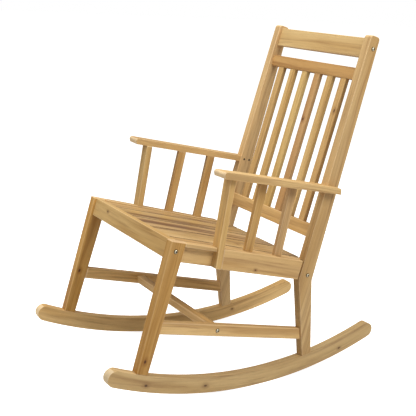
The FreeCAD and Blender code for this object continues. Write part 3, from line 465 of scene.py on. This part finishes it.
# ---- boards
class Lie:
    """How a board lies: its middle, its axes (across, through, along) and its length along each."""

    def __init__(self, mesh_data):
        longest = max(mesh_data.edges, key=lambda edge: edge.calc_length())
        broadest = max(mesh_data.faces, key=lambda face: face.calc_area())
        self.along = (longest.verts[1].co - longest.verts[0].co).normalized()
        if self.along.z < -0.1 or (abs(self.along.z) <= 0.1 and self.along.x + self.along.y < 0):
            self.along.negate()
        self.through = (broadest.normal - self.along * broadest.normal.dot(self.along)).normalized()
        self.across = self.through.cross(self.along).normalized()
        if max(self.across, key=abs) < 0:
            self.across.negate()
            self.through.negate()
        places = [vertex.co for vertex in mesh_data.verts]
        self.centre = Vector()
        self.size = []
        for axis in (self.across, self.through, self.along):
            reaches = [place.dot(axis) for place in places]
            self.centre += axis * (max(reaches) + min(reaches)) / 2.0
            self.size.append(max(reaches) - min(reaches))


def frame_copy(node):
    """A copy of a CAD node's mesh with its triangles joined into whole faces."""
    solid = bmesh.new()
    solid.from_mesh(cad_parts[node].data)
    bmesh.ops.remove_doubles(solid, verts=solid.verts, dist=WELD)
    bmesh.ops.dissolve_limit(solid, angle_limit=FLAT, verts=solid.verts, edges=solid.edges)
    solid.normal_update()
    return solid


def outline_edges(solid):
    """Sharp edges that belong to the outline of a board, and not to the rim of a small hole."""
    sharp = {edge for edge in solid.edges if edge.is_manifold and edge.calc_face_angle() > SHARP}
    kept = []
    for start in solid.edges:
        if start not in sharp:
            continue
        sharp.remove(start)
        chain = [start]
        for edge in chain:
            for vertex in edge.verts:
                for other in vertex.link_edges:
                    if other in sharp:
                        sharp.remove(other)
                        chain.append(other)
        places = [vertex.co for edge in chain for vertex in edge.verts]
        spread = Vector([max(place[axis] for place in places) - min(place[axis] for place in places)
                         for axis in range(3)])
        if spread.length > HOLE_SPAN:
            kept.extend(chain)
    return kept


def lay_vectors(mesh, name, rows):
    """Lay one vector per vertex on a mesh, for the finish to read."""
    attribute = mesh.attributes.new(name, "FLOAT_VECTOR", "POINT")
    attribute.data.foreach_set("vector", np.ascontiguousarray(rows, dtype=np.float32).ravel())


def board_chance(node):
    """The same random numbers for a board each time."""
    return random.Random("board " + node)


def board_shift(node):
    """Where in the tree a board was sawn: its place from the pith, and how far along the trunk."""
    chance = board_chance(node)
    angle = chance.uniform(0.15, 1.3)
    reach = chance.uniform(0.035, 0.11)
    return Vector((reach * math.cos(angle), reach * math.sin(angle), chance.uniform(-8.0, 8.0)))


def board_tint(node):
    chance = board_chance(node + " tint")
    drawn = tuple(chance.uniform(-0.4, 0.4) for _ in range(3))
    return BOARD_TINTS.get(node, drawn)


def vertex_places(mesh):
    places = np.empty(len(mesh.vertices) * 3, dtype=np.float64)
    mesh.vertices.foreach_get("co", places)
    return places.reshape(-1, 3)


def straight_grain(mesh, lie):
    """Grain coordinates of every vertex of a straight-grained board."""
    axes = np.array([lie.across[:], lie.through[:], lie.along[:]]).T
    return (vertex_places(mesh) - np.array(lie.centre[:])) @ axes


def curved_grain(mesh, centre, radius):
    """Grain that follows a curved rocker: depth, thickness and distance round the curve."""
    places = vertex_places(mesh)
    offsets = places - np.array(centre[:])
    reach = np.hypot(offsets[:, 1], offsets[:, 2])
    turn = np.arctan2(offsets[:, 1], -offsets[:, 2])
    return np.stack([reach - radius, offsets[:, 0], turn * radius], axis=1)


def lay_knots(mesh, grain, knots):
    """Give each corner of a face its place from the knot that is nearest to the face."""
    rows = np.zeros((len(mesh.loops), 3))
    for polygon in mesh.polygons:
        spots = grain[list(polygon.vertices)]
        middle = spots.mean(axis=0)
        across, along, radius = min(knots, key=lambda knot: abs(knot[1] - middle[2]))
        rows[list(polygon.loop_indices)] = np.stack(
            [spots[:, 0] - across, spots[:, 2] - along, np.full(len(spots), radius)], axis=1)
    laid = mesh.attributes.new("knot", "FLOAT_VECTOR", "CORNER")
    laid.data.foreach_set("vector", rows.astype(np.float32).ravel())


def lay_board_marks(mesh, node, grain, along_of):
    """Give a board its grain, tint, knots, sawn ends and figure."""
    lay_vectors(mesh, "grain", grain + np.array(board_shift(node)[:]))
    lay_vectors(mesh, "tint", np.tile(board_tint(node), (len(grain), 1)))
    lay_knots(mesh, grain, BOARD_KNOTS.get(node, [NO_KNOT]))
    ends = mesh.attributes.new("end_cut", "FLOAT", "FACE")
    for polygon in mesh.polygons:
        facing = abs(polygon.normal.dot(along_of(polygon.center)))
        ends.data[polygon.index].value = float(facing > END_FACING)
    figure = mesh.attributes.new("figure", "FLOAT", "POINT")
    strength = BOARD_FIGURE.get(node, USUAL_FIGURE)
    figure.data.foreach_set("value", np.full(len(grain), strength, dtype=np.float32))


def smooth_copy(mesh):
    """The mesh with its flat faces shaded flat and its eased edges shaded round."""
    holder = put_in_scene("shading", mesh)
    for polygon in mesh.polygons:
        polygon.use_smooth = True
    mesh.set_sharp_from_angle(angle=CREASE)
    weights = holder.modifiers.new("weights", "WEIGHTED_NORMAL")
    weights.keep_sharp = True
    finished = bpy.data.meshes.new_from_object(holder.evaluated_get(bpy.context.evaluated_depsgraph_get()))
    bpy.data.objects.remove(holder)
    return finished


def place_piece(name, mesh, nodes, material):
    """Make the finished piece, in place of its CAD nodes."""
    mesh.name = name
    mesh.materials.clear()
    mesh.materials.append(material)
    piece = put_in_scene(name, mesh)
    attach(piece, BODY)
    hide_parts(*nodes)


def make_board(node, edge_round=None, curved=False):
    """A board with eased edges, cut to the outline, holes and joints of its CAD node."""
    settings = bpy.context.scene.rocking_chair.timber
    solid = frame_copy(node)
    lie = Lie(solid)
    if curved:
        centre, radius = rocking_arc(node)
        cut_across_curve(solid, centre)
    edges = outline_edges(solid)
    bmesh.ops.bevel(solid, geom=edges, offset=edge_round or settings.edge_round, offset_type="OFFSET",
                    segments=settings.edge_steps, profile=0.5, affect="EDGES", clamp_overlap=True,
                    material=1)
    bmesh.ops.recalc_face_normals(solid, faces=solid.faces)
    mesh = bpy.data.meshes.new(node)
    mesh.materials.append(timber())
    mesh.materials.append(timber())
    solid.to_mesh(mesh)
    solid.free()
    mesh = smooth_copy(mesh)
    eased_faces = [polygon.material_index == 1 for polygon in mesh.polygons]
    eased = mesh.attributes.new("eased", "FLOAT", "FACE")
    eased.data.foreach_set("value", np.array(eased_faces, dtype=np.float32))
    for polygon in mesh.polygons:
        polygon.material_index = 0
    if curved:
        grain = curved_grain(mesh, centre, radius)

        def along_of(place):
            spoke = place - centre
            return Vector((0.0, -spoke.z, spoke.y)).normalized()
    else:
        grain = straight_grain(mesh, lie)

        def along_of(place):
            return lie.along
    lay_board_marks(mesh, node, grain, along_of)
    # mark the walls of the gaps between seat boards, which get painted shade
    if node in SEAT_BOARDS:
        walls = mesh.attributes.new("gap_wall", "FLOAT", "FACE")
        for polygon in mesh.polygons:
            walls.data[polygon.index].value = float(abs(polygon.normal.dot(lie.across)) > WALL_FACING)
    place_piece(node + "_timber", mesh, [node], timber())


def cut_across_curve(solid, centre):
    """Divide a rocker into short lengths, so that its grain can follow its curve."""
    for number in range(-CURVE_CUTS, CURVE_CUTS + 1):
        turn = number * CURVE_STEP
        tangent = Vector((0.0, math.cos(turn), math.sin(turn)))
        whole = list(solid.verts) + list(solid.edges) + list(solid.faces)
        bmesh.ops.bisect_plane(solid, geom=whole, plane_co=centre, plane_no=tangent, dist=WELD)


def rocking_arc(node):
    """Centre and middle radius of a rocker, from its lowest point and one near an end of its underside."""
    places = [vertex.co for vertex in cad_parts[node].data.vertices]
    lowest = min(places, key=lambda place: place.z)
    front = [place for place in places if place.y < lowest.y - 0.25]
    chosen = min(front, key=lambda place: place.z - 0.2 * abs(place.y))
    rise = chosen.z - lowest.z
    run = chosen.y
    radius = (run * run + rise * rise) / (2.0 * rise)
    middle = sum((place.x for place in places)) / len(places)
    over = max(place.z for place in places if abs(place.y) < 0.03)
    return Vector((middle, 0.0, radius)), radius - over / 2.0


# ---- geometry nodes
def new_tree(name, inputs):
    """A geometry tree with named inputs: the tree, its wiring, its inputs by name, and its end."""
    tree = bpy.data.node_groups.new(name, "GeometryNodeTree")
    tree.interface.new_socket("Geometry", in_out="OUTPUT", socket_type="NodeSocketGeometry")
    tree.interface.new_socket("Geometry", in_out="INPUT", socket_type="NodeSocketGeometry")
    for title, kind in inputs:
        tree.interface.new_socket(title, in_out="INPUT", socket_type="NodeSocket" + kind)
    wiring = Wiring(tree)
    entry = wiring.node("NodeGroupInput")
    leave = wiring.node("NodeGroupOutput")
    return tree, wiring, {socket.name: socket for socket in entry.outputs if socket.name}, leave.inputs[0]


def run_tree(name, tree, points, values):
    """Grow a tree on a mesh of points and return the result as a plain mesh."""
    holder = put_in_scene(name, points)
    grown = holder.modifiers.new(name, "NODES")
    grown.node_group = tree
    for item in tree.interface.items_tree:
        if item.in_out == "INPUT" and item.name in values:
            grown[item.identifier] = values[item.name]
    holder.update_tag()
    mesh = bpy.data.meshes.new_from_object(holder.evaluated_get(bpy.context.evaluated_depsgraph_get()))
    holder.modifiers.clear()
    bpy.data.objects.remove(holder)
    if not mesh.polygons:
        raise RuntimeError("%s grew nothing" % name)
    return mesh


def named(wiring, kind, name):
    made = wiring.node("GeometryNodeInputNamedAttribute", data_type=kind, inputs={"Name": name})
    return made.outputs[0]


def store(wiring, geometry, name, value, domain="POINT"):
    made = wiring.node("GeometryNodeStoreNamedAttribute", data_type="FLOAT_VECTOR", domain=domain, inputs={
        "Name": name, "Geometry": geometry, "Value": value})
    return made.outputs[0]


def slat_tree():
    """One slat on every point: a rounded rectangle drawn out to the slat's length."""
    tree, w, given, leave = new_tree("slats_on_points", [
        ("Width", "Float"), ("Thickness", "Float"), ("Length", "Float"), ("Edge Round", "Float"),
        ("Turn", "Rotation"), ("Timber", "Material")])
    section = w.node("GeometryNodeCurvePrimitiveQuadrilateral", mode="RECTANGLE", inputs={
        "Width": given["Width"], "Height": given["Thickness"]})
    rounded = w.node("GeometryNodeFilletCurve", mode="POLY", inputs={
        "Curve": section.outputs[0], "Count": 4, "Radius": given["Edge Round"]})
    filled = w.node("GeometryNodeFillCurve", mode="NGONS", inputs={"Curve": rounded.outputs[0]})
    drawn = w.node("GeometryNodeExtrudeMesh", mode="FACES", inputs={
        "Mesh": filled.outputs[0], "Individual": False, "Offset": w.combine(0.0, 0.0, 1.0),
        "Offset Scale": given["Length"]})
    turned = w.node("GeometryNodeFlipFaces", inputs={"Mesh": filled.outputs[0]})
    both = w.node("GeometryNodeJoinGeometry")
    w.join(drawn.outputs["Mesh"], both.inputs[0])
    w.join(turned.outputs[0], both.inputs[0])
    welded = w.node("GeometryNodeMergeByDistance", inputs={
        "Geometry": both.outputs[0], "Distance": 1e-5})
    middle = w.node("GeometryNodeTransform", inputs={
        "Geometry": welded.outputs[0],
        "Translation": w.combine(0.0, 0.0, w.times(given["Length"], -0.5))})
    own_place = w.node("GeometryNodeInputPosition")
    slat = store(w, middle.outputs[0], "local", own_place.outputs[0])
    spread = w.node("GeometryNodeInstanceOnPoints", inputs={
        "Points": given["Geometry"], "Instance": slat, "Rotation": given["Turn"]})
    real = w.node("GeometryNodeRealizeInstances", inputs={0: spread.outputs[0]})
    local = named(w, "FLOAT_VECTOR", "local")
    grain = w.vector_math("ADD", local, named(w, "FLOAT_VECTOR", "shift"))
    laid = store(w, real.outputs[0], "grain", grain)
    local_across, _, local_along = w.split(local)
    knot_across, knot_along, knot_radius = w.split(named(w, "FLOAT_VECTOR", "knot_place"))
    knot = w.combine(w.minus(local_across, knot_across),
                     w.minus(local_along, knot_along), knot_radius)
    laid = store(w, laid, "knot", knot)
    paint = w.node("GeometryNodeSetMaterial", inputs={"Geometry": laid, "Material": given["Timber"]})
    w.join(paint.outputs[0], leave)
    return tree


def points_mesh(name, places, **vectors):
    """A mesh of loose points that carry vectors."""
    mesh = bpy.data.meshes.new(name)
    mesh.from_pydata([tuple(place) for place in places], [], [])
    for title, rows in vectors.items():
        lay_vectors(mesh, title, np.array([tuple(row) for row in rows]))
    return mesh


def fastener_tree(name, domed):
    """One fastener on every point, along the point's axis: head, washer and shank."""
    tree, w, given, leave = new_tree(name, [
        ("Head Radius", "Float"), ("Head Height", "Float"), ("Washer Radius", "Float"),
        ("Washer Thickness", "Float"), ("Shank Radius", "Float"), ("Shank Length", "Float"),
        ("Drive Radius", "Float"), ("Plating", "Material")])

    def cylinder(sides, radius, depth, low):
        """A cylinder whose lower end lies at height `low`."""
        made = w.node("GeometryNodeMeshCylinder", fill_type="NGON", inputs={
            "Vertices": sides, "Radius": radius, "Depth": depth})
        moved = w.node("GeometryNodeTransform", inputs={"Geometry": made.outputs["Mesh"]})
        w.join(w.combine(0.0, 0.0, w.plus(w.times(depth, 0.5), low)),
               moved.inputs["Translation"])
        return moved.outputs[0]

    if domed:
        ball = w.node("GeometryNodeMeshUVSphere", inputs={"Segments": 24, "Rings": 12, "Radius": 1.0})
        squashed = w.node("GeometryNodeTransform", inputs={"Geometry": ball.outputs["Mesh"]})
        w.join(w.combine(given["Head Radius"], given["Head Radius"], given["Head Height"]),
               squashed.inputs["Scale"])
        w.join(w.combine(0.0, 0.0, given["Washer Thickness"]), squashed.inputs["Translation"])
        head = squashed.outputs[0]
        drive_low = w.times(given["Head Height"], 0.45)
        drive_low = w.plus(drive_low, given["Washer Thickness"])
        drives = [cylinder(6, given["Drive Radius"], given["Head Height"], drive_low)]
    else:
        head_low = w.times(given["Head Height"], -1.0)
        head = cylinder(24, given["Head Radius"], given["Head Height"], head_low)
        drives = []
        for sideways in (False, True):
            blade = w.node("GeometryNodeMeshCube")
            long_side = w.times(given["Drive Radius"], 2.0)
            thin_side = w.times(given["Drive Radius"], 0.42)
            w.join(w.combine(thin_side if sideways else long_side, long_side if sideways else thin_side,
                             given["Head Height"]), blade.inputs["Size"])
            drives.append(blade.outputs["Mesh"])
    cut = w.node("GeometryNodeMeshBoolean", operation="DIFFERENCE", solver="EXACT",
                 inputs={"Mesh 1": head})
    for drive in drives:
        w.join(drive, cut.inputs["Mesh 2"])
    parts = [cut.outputs[0]]
    if domed:
        parts.append(cylinder(28, given["Washer Radius"], given["Washer Thickness"], 0.0))
    shank_low = w.times(given["Shank Length"], -1.0)
    parts.append(cylinder(16, given["Shank Radius"], given["Shank Length"], shank_low))
    whole = w.node("GeometryNodeJoinGeometry")
    for part in parts:
        w.join(part, whole.inputs[0])
    # Painted shade: faces round the rim of each head and washer, and in its drive recess, are marked to be
    # darkened.
    from_axis = w.scaled(w.node("GeometryNodeInputPosition").outputs[0], (1.0, 1.0, 0.0))
    from_axis = w.vector_math("LENGTH", from_axis)
    rim = w.math("GREATER_THAN", from_axis, w.times(given["Head Radius"], 0.97))
    drive_edge = w.math("LESS_THAN", from_axis, w.times(given["Drive Radius"], 0.90))
    marked = store(w, whole.outputs[0], "painted_recess_shade", w.math("MAXIMUM", rim, drive_edge), "FACE")
    aim = w.node("FunctionNodeAlignRotationToVector", axis="Z", inputs={
        "Vector": named(w, "FLOAT_VECTOR", "axis")})
    spread = w.node("GeometryNodeInstanceOnPoints", inputs={
        "Points": given["Geometry"], "Instance": marked, "Rotation": aim.outputs[0]})
    real = w.node("GeometryNodeRealizeInstances", inputs={0: spread.outputs[0]})
    paint = w.node("GeometryNodeSetMaterial", inputs={
        "Geometry": real.outputs[0], "Material": given["Plating"]})
    w.join(paint.outputs[0], leave)
    return tree


def fastener_places(node):
    """For each solid of a node of fasteners: the middle of its head's top and the way it points out."""
    solid = frame_copy(node)
    waiting = set(solid.verts)
    found = []
    for start in solid.verts:
        if start not in waiting:
            continue
        waiting.remove(start)
        island = [start]
        for vertex in island:
            for edge in vertex.link_edges:
                other = edge.other_vert(vertex)
                if other in waiting:
                    waiting.remove(other)
                    island.append(other)
        places = np.array([vertex.co[:] for vertex in island])
        middle = (places.max(0) + places.min(0)) / 2.0
        axis = np.linalg.svd(places - places.mean(0), full_matrices=False)[2][0]
        reach = (places - middle) @ axis
        if np.abs(reach.max()) < WELD:
            continue
        top_width = np.ptp(places[reach > reach.max() - HEAD_SLICE], axis=0).max()
        foot_width = np.ptp(places[reach < reach.min() + HEAD_SLICE], axis=0).max()
        outward = axis if top_width > foot_width else -axis
        reach = (places - middle) @ outward
        height = reach.max()
        head = places[reach > height - HEAD_SLICE]
        centre = (head.max(0) + head.min(0)) / 2.0
        centre = centre + outward * (height - (centre - middle) @ outward)
        found.append((Vector(centre), Vector(outward).normalized()))
    solid.free()
    return found


# ---- operators
class PieceOperator:
    """What the operators share."""

    bl_options = {"REGISTER"}


class CHAIR_OT_rockers(PieceOperator, bpy.types.Operator):
    """Make the two curved rockers, with grain that follows their curve"""

    bl_idname = "rocking_chair.rockers"
    bl_label = "Rockers"

    def execute(self, context):
        for node in ROCKERS:
            make_board(node, ROCKER_ROUND, curved=True)
        return {"FINISHED"}


class CHAIR_OT_legs_and_posts(PieceOperator, bpy.types.Operator):
    """Make the front legs and the bent rear posts"""

    bl_idname = "rocking_chair.legs_and_posts"
    bl_label = "Legs and posts"

    def execute(self, context):
        for part in ("front_leg", "rear_post"):
            for side in SIDE_WORDS:
                make_board("%s_%s" % (part, side))
        return {"FINISHED"}


class CHAIR_OT_seat_frame(PieceOperator, bpy.types.Operator):
    """Make the apron, rails, battens and edge strips that carry the seat"""

    bl_idname = "rocking_chair.seat_frame"
    bl_label = "Seat frame"

    def execute(self, context):
        for node in ("front_apron", "rear_seat_rail", "front_batten", "rear_batten"):
            make_board(node)
        for side in SIDE_WORDS:
            make_board("side_rail_%s" % side)
            make_board("seat_edge_strip_%s" % side)
            make_board("side_board_%s" % side)
        return {"FINISHED"}


class CHAIR_OT_seat_boards(PieceOperator, bpy.types.Operator):
    """Make the planks of the seat"""

    bl_idname = "rocking_chair.seat_boards"
    bl_label = "Seat boards"

    def execute(self, context):
        for node in SEAT_BOARDS:
            make_board(node)
        return {"FINISHED"}


class CHAIR_OT_stretchers(PieceOperator, bpy.types.Operator):
    """Make the low stretchers"""

    bl_idname = "rocking_chair.stretchers"
    bl_label = "Stretchers"

    def execute(self, context):
        for node in ("side_stretcher_left", "side_stretcher_right", "cross_stretcher"):
            make_board(node, STRETCHER_ROUND)
        return {"FINISHED"}


class CHAIR_OT_arms(PieceOperator, bpy.types.Operator):
    """Make the arms and the uprights under them"""

    bl_idname = "rocking_chair.arms"
    bl_label = "Arms"

    def execute(self, context):
        settings = context.scene.rocking_chair.timber
        for side in SIDE_WORDS:
            make_board("arm_%s" % side, settings.arm_round)
            make_board("arm_front_post_%s" % side)
            make_board("arm_slat_1_%s" % side)
            make_board("arm_slat_2_%s" % side)
        return {"FINISHED"}


class CHAIR_OT_back_rails(PieceOperator, bpy.types.Operator):
    """Make the three rails of the back"""

    bl_idname = "rocking_chair.back_rails"
    bl_label = "Back rails"

    def execute(self, context):
        for node in ("top_back_rail", "upper_slat_rail", "lower_slat_rail"):
            make_board(node)
        return {"FINISHED"}


class CHAIR_OT_back_slats(PieceOperator, bpy.types.Operator):
    """Make the slats of the back, one on each point, between their two rails"""

    bl_idname = "rocking_chair.back_slats"
    bl_label = "Back slats"

    def execute(self, context):
        settings = context.scene.rocking_chair.timber
        lies = []
        for node in BACK_SLATS:
            solid = frame_copy(node)
            lies.append(Lie(solid))
            solid.free()
        first = lies[0]
        points = points_mesh(
            "slat_points", [lie.centre for lie in lies],
            shift=[board_shift(node) for node in BACK_SLATS],
            tint=[board_tint(node) for node in BACK_SLATS],
            knot_place=[BOARD_KNOTS.get(node, [NO_KNOT])[0] for node in BACK_SLATS])
        turn = Matrix((first.across, first.through, first.along)).transposed().to_euler()
        mesh = run_tree("back_slats", slat_tree(), points, {
            "Width": first.size[0], "Thickness": first.size[1], "Length": first.size[2] - SLAT_SHORTER,
            "Edge Round": settings.edge_round, "Turn": turn, "Timber": timber()})
        for polygon in mesh.polygons:
            polygon.use_smooth = False
        place_piece("back_slats_timber", mesh, BACK_SLATS, timber())
        return {"FINISHED"}


class CHAIR_OT_bolts(PieceOperator, bpy.types.Operator):
    """Make the domed bolts with their washers"""

    bl_idname = "rocking_chair.bolts"
    bl_label = "Bolts"

    def execute(self, context):
        settings = context.scene.rocking_chair.fastenings
        heads = [found for node in BOLT_NODES for found in fastener_places(node)]
        head_height = 0.0035
        seat = head_height + settings.washer_thick
        points = points_mesh("bolt_points", [place - axis * seat for place, axis in heads],
                             axis=[axis for _, axis in heads])
        mesh = run_tree("bolts", fastener_tree("domed_bolts", True), points, {
            "Head Radius": 0.0055, "Head Height": head_height, "Washer Radius": 0.0065,
            "Washer Thickness": settings.washer_thick, "Shank Radius": 0.003, "Shank Length": 0.050,
            "Drive Radius": 0.0031, "Plating": plating()})
        place_piece("bolts_plated", mesh, BOLT_NODES, plating())
        return {"FINISHED"}


class CHAIR_OT_screws(PieceOperator, bpy.types.Operator):
    """Make the countersunk screws of the seat and the arms"""

    bl_idname = "rocking_chair.screws"
    bl_label = "Screws"

    def execute(self, context):
        heads = [found for node in SCREW_NODES for found in fastener_places(node)]
        points = points_mesh("screw_points", [place for place, _ in heads],
                             axis=[axis for _, axis in heads])
        mesh = run_tree("screws", fastener_tree("countersunk_screws", False), points, {
            "Head Radius": 0.0039, "Head Height": 0.0018, "Shank Radius": 0.0018, "Shank Length": 0.028,
            "Drive Radius": 0.0022, "Plating": darkened_plating()})
        place_piece("screws_plated", mesh, SCREW_NODES, darkened_plating())
        return {"FINISHED"}


class CHAIR_OT_barrel_nuts(PieceOperator, bpy.types.Operator):
    """Give the barrel nuts their plating"""

    bl_idname = "rocking_chair.barrel_nuts"
    bl_label = "Barrel nuts"

    def execute(self, context):
        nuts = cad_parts["barrel_nuts"]
        for slot in nuts.material_slots:
            slot.material = plating()
        return {"FINISHED"}


class CHAIR_OT_stage(PieceOperator, bpy.types.Operator):
    """Set up the floor, the soft lights and the camera"""

    bl_idname = "rocking_chair.stage"
    bl_label = "Studio"

    def execute(self, context):
        settings = context.scene.rocking_chair.studio
        mesh = bpy.data.meshes.new("studio_floor")
        corners = [(-1, -1), (1, -1), (1, 1), (-1, 1)]
        mesh.from_pydata([(x * FLOOR_REACH, y * FLOOR_REACH, 0.0) for x, y in corners], [], [(0, 1, 2, 3)])
        mesh.materials.append(pale_floor(settings))
        put_in_scene("studio_floor", mesh)

        world = bpy.data.worlds.new("studio_room")
        world.use_nodes = True
        room = Wiring(world.node_tree)
        room.tree.nodes.clear()
        sky = room.node("ShaderNodeBackground", "light on the chair", inputs={
            "Strength": settings.room_light})
        backdrop = room.node("ShaderNodeBackground", "white behind it", inputs={"Color": WHITE})
        sky.inputs["Color"].default_value = WHITE
        chosen = room.node("ShaderNodeMixShader", inputs={
            0: room.node("ShaderNodeLightPath").outputs["Is Camera Ray"], 1: sky.outputs[0],
            2: backdrop.outputs[0]})
        room.join(chosen.outputs[0], room.node("ShaderNodeOutputWorld").inputs[0])
        context.scene.world = world

        target = Vector(settings.camera_target)
        lamps = (("key_light", (2.4, 0.5, 2.7), 1.6, settings.key_power),
                 ("front_light", (-0.4, -2.8, 2.3), 2.0, settings.fill_power),
                 ("top_light", (-0.2, -0.3, 2.9), 1.8, settings.top_power))
        for name, place, size, power in lamps:
            lamp = bpy.data.lights.new(name, "AREA")
            lamp.shape = "SQUARE"
            lamp.size = size
            lamp.energy = power
            holder = put_in_scene(name, lamp)
            holder.location = place
            holder.rotation_euler = (target - Vector(place)).to_track_quat("-Z", "Y").to_euler()

        lens = bpy.data.cameras.new("camera")
        lens.sensor_width = 36.0
        lens.lens = settings.lens
        lens.shift_x, lens.shift_y = settings.camera_shift
        lens.clip_start = 0.05
        lens.clip_end = 100.0
        camera = put_in_scene("camera", lens)
        camera.location = settings.camera_place
        gaze = (target - camera.location).to_track_quat("-Z", "Y").to_matrix()
        roll = Matrix.Rotation(settings.camera_roll, 3, "Z")
        camera.rotation_euler = (gaze @ roll).to_euler()
        context.scene.camera = camera
        context.scene.view_settings.view_transform = "Standard"
        return {"FINISHED"}


OPERATORS = (CHAIR_OT_rockers, CHAIR_OT_legs_and_posts, CHAIR_OT_seat_frame, CHAIR_OT_seat_boards,
             CHAIR_OT_stretchers, CHAIR_OT_arms, CHAIR_OT_back_rails, CHAIR_OT_back_slats, CHAIR_OT_bolts,
             CHAIR_OT_screws, CHAIR_OT_barrel_nuts, CHAIR_OT_stage)


class CHAIR_PT_panel(bpy.types.Panel):
    """Buttons and settings of the rocking chair"""

    bl_idname = "CHAIR_PT_panel"
    bl_label = "Rocking chair"
    bl_space_type = "VIEW_3D"
    bl_region_type = "UI"
    bl_category = "Rocking Chair"

    def draw(self, context):
        for operator in OPERATORS:
            self.layout.operator(operator.bl_idname)
        settings = context.scene.rocking_chair
        for group in (settings.timber, settings.fastenings, settings.studio):
            box = self.layout.box()
            for name in group.__annotations__:
                box.prop(group, name)


CLASSES = (TimberSettings, FasteningSettings, StudioSettings, RockingChairSettings, *OPERATORS,
           CHAIR_PT_panel)


def register():
    for item in CLASSES:
        bpy.utils.register_class(item)
    bpy.types.Scene.rocking_chair = PointerProperty(type=RockingChairSettings)


def unregister():
    del bpy.types.Scene.rocking_chair
    for item in reversed(CLASSES):
        bpy.utils.unregister_class(item)


def main():
    register()
    for operator in OPERATORS:
        family, name = operator.bl_idname.split(".")
        getattr(getattr(bpy.ops, family), name)()
    bpy.context.view_layer.update()


if __name__ == "__main__":
    main()
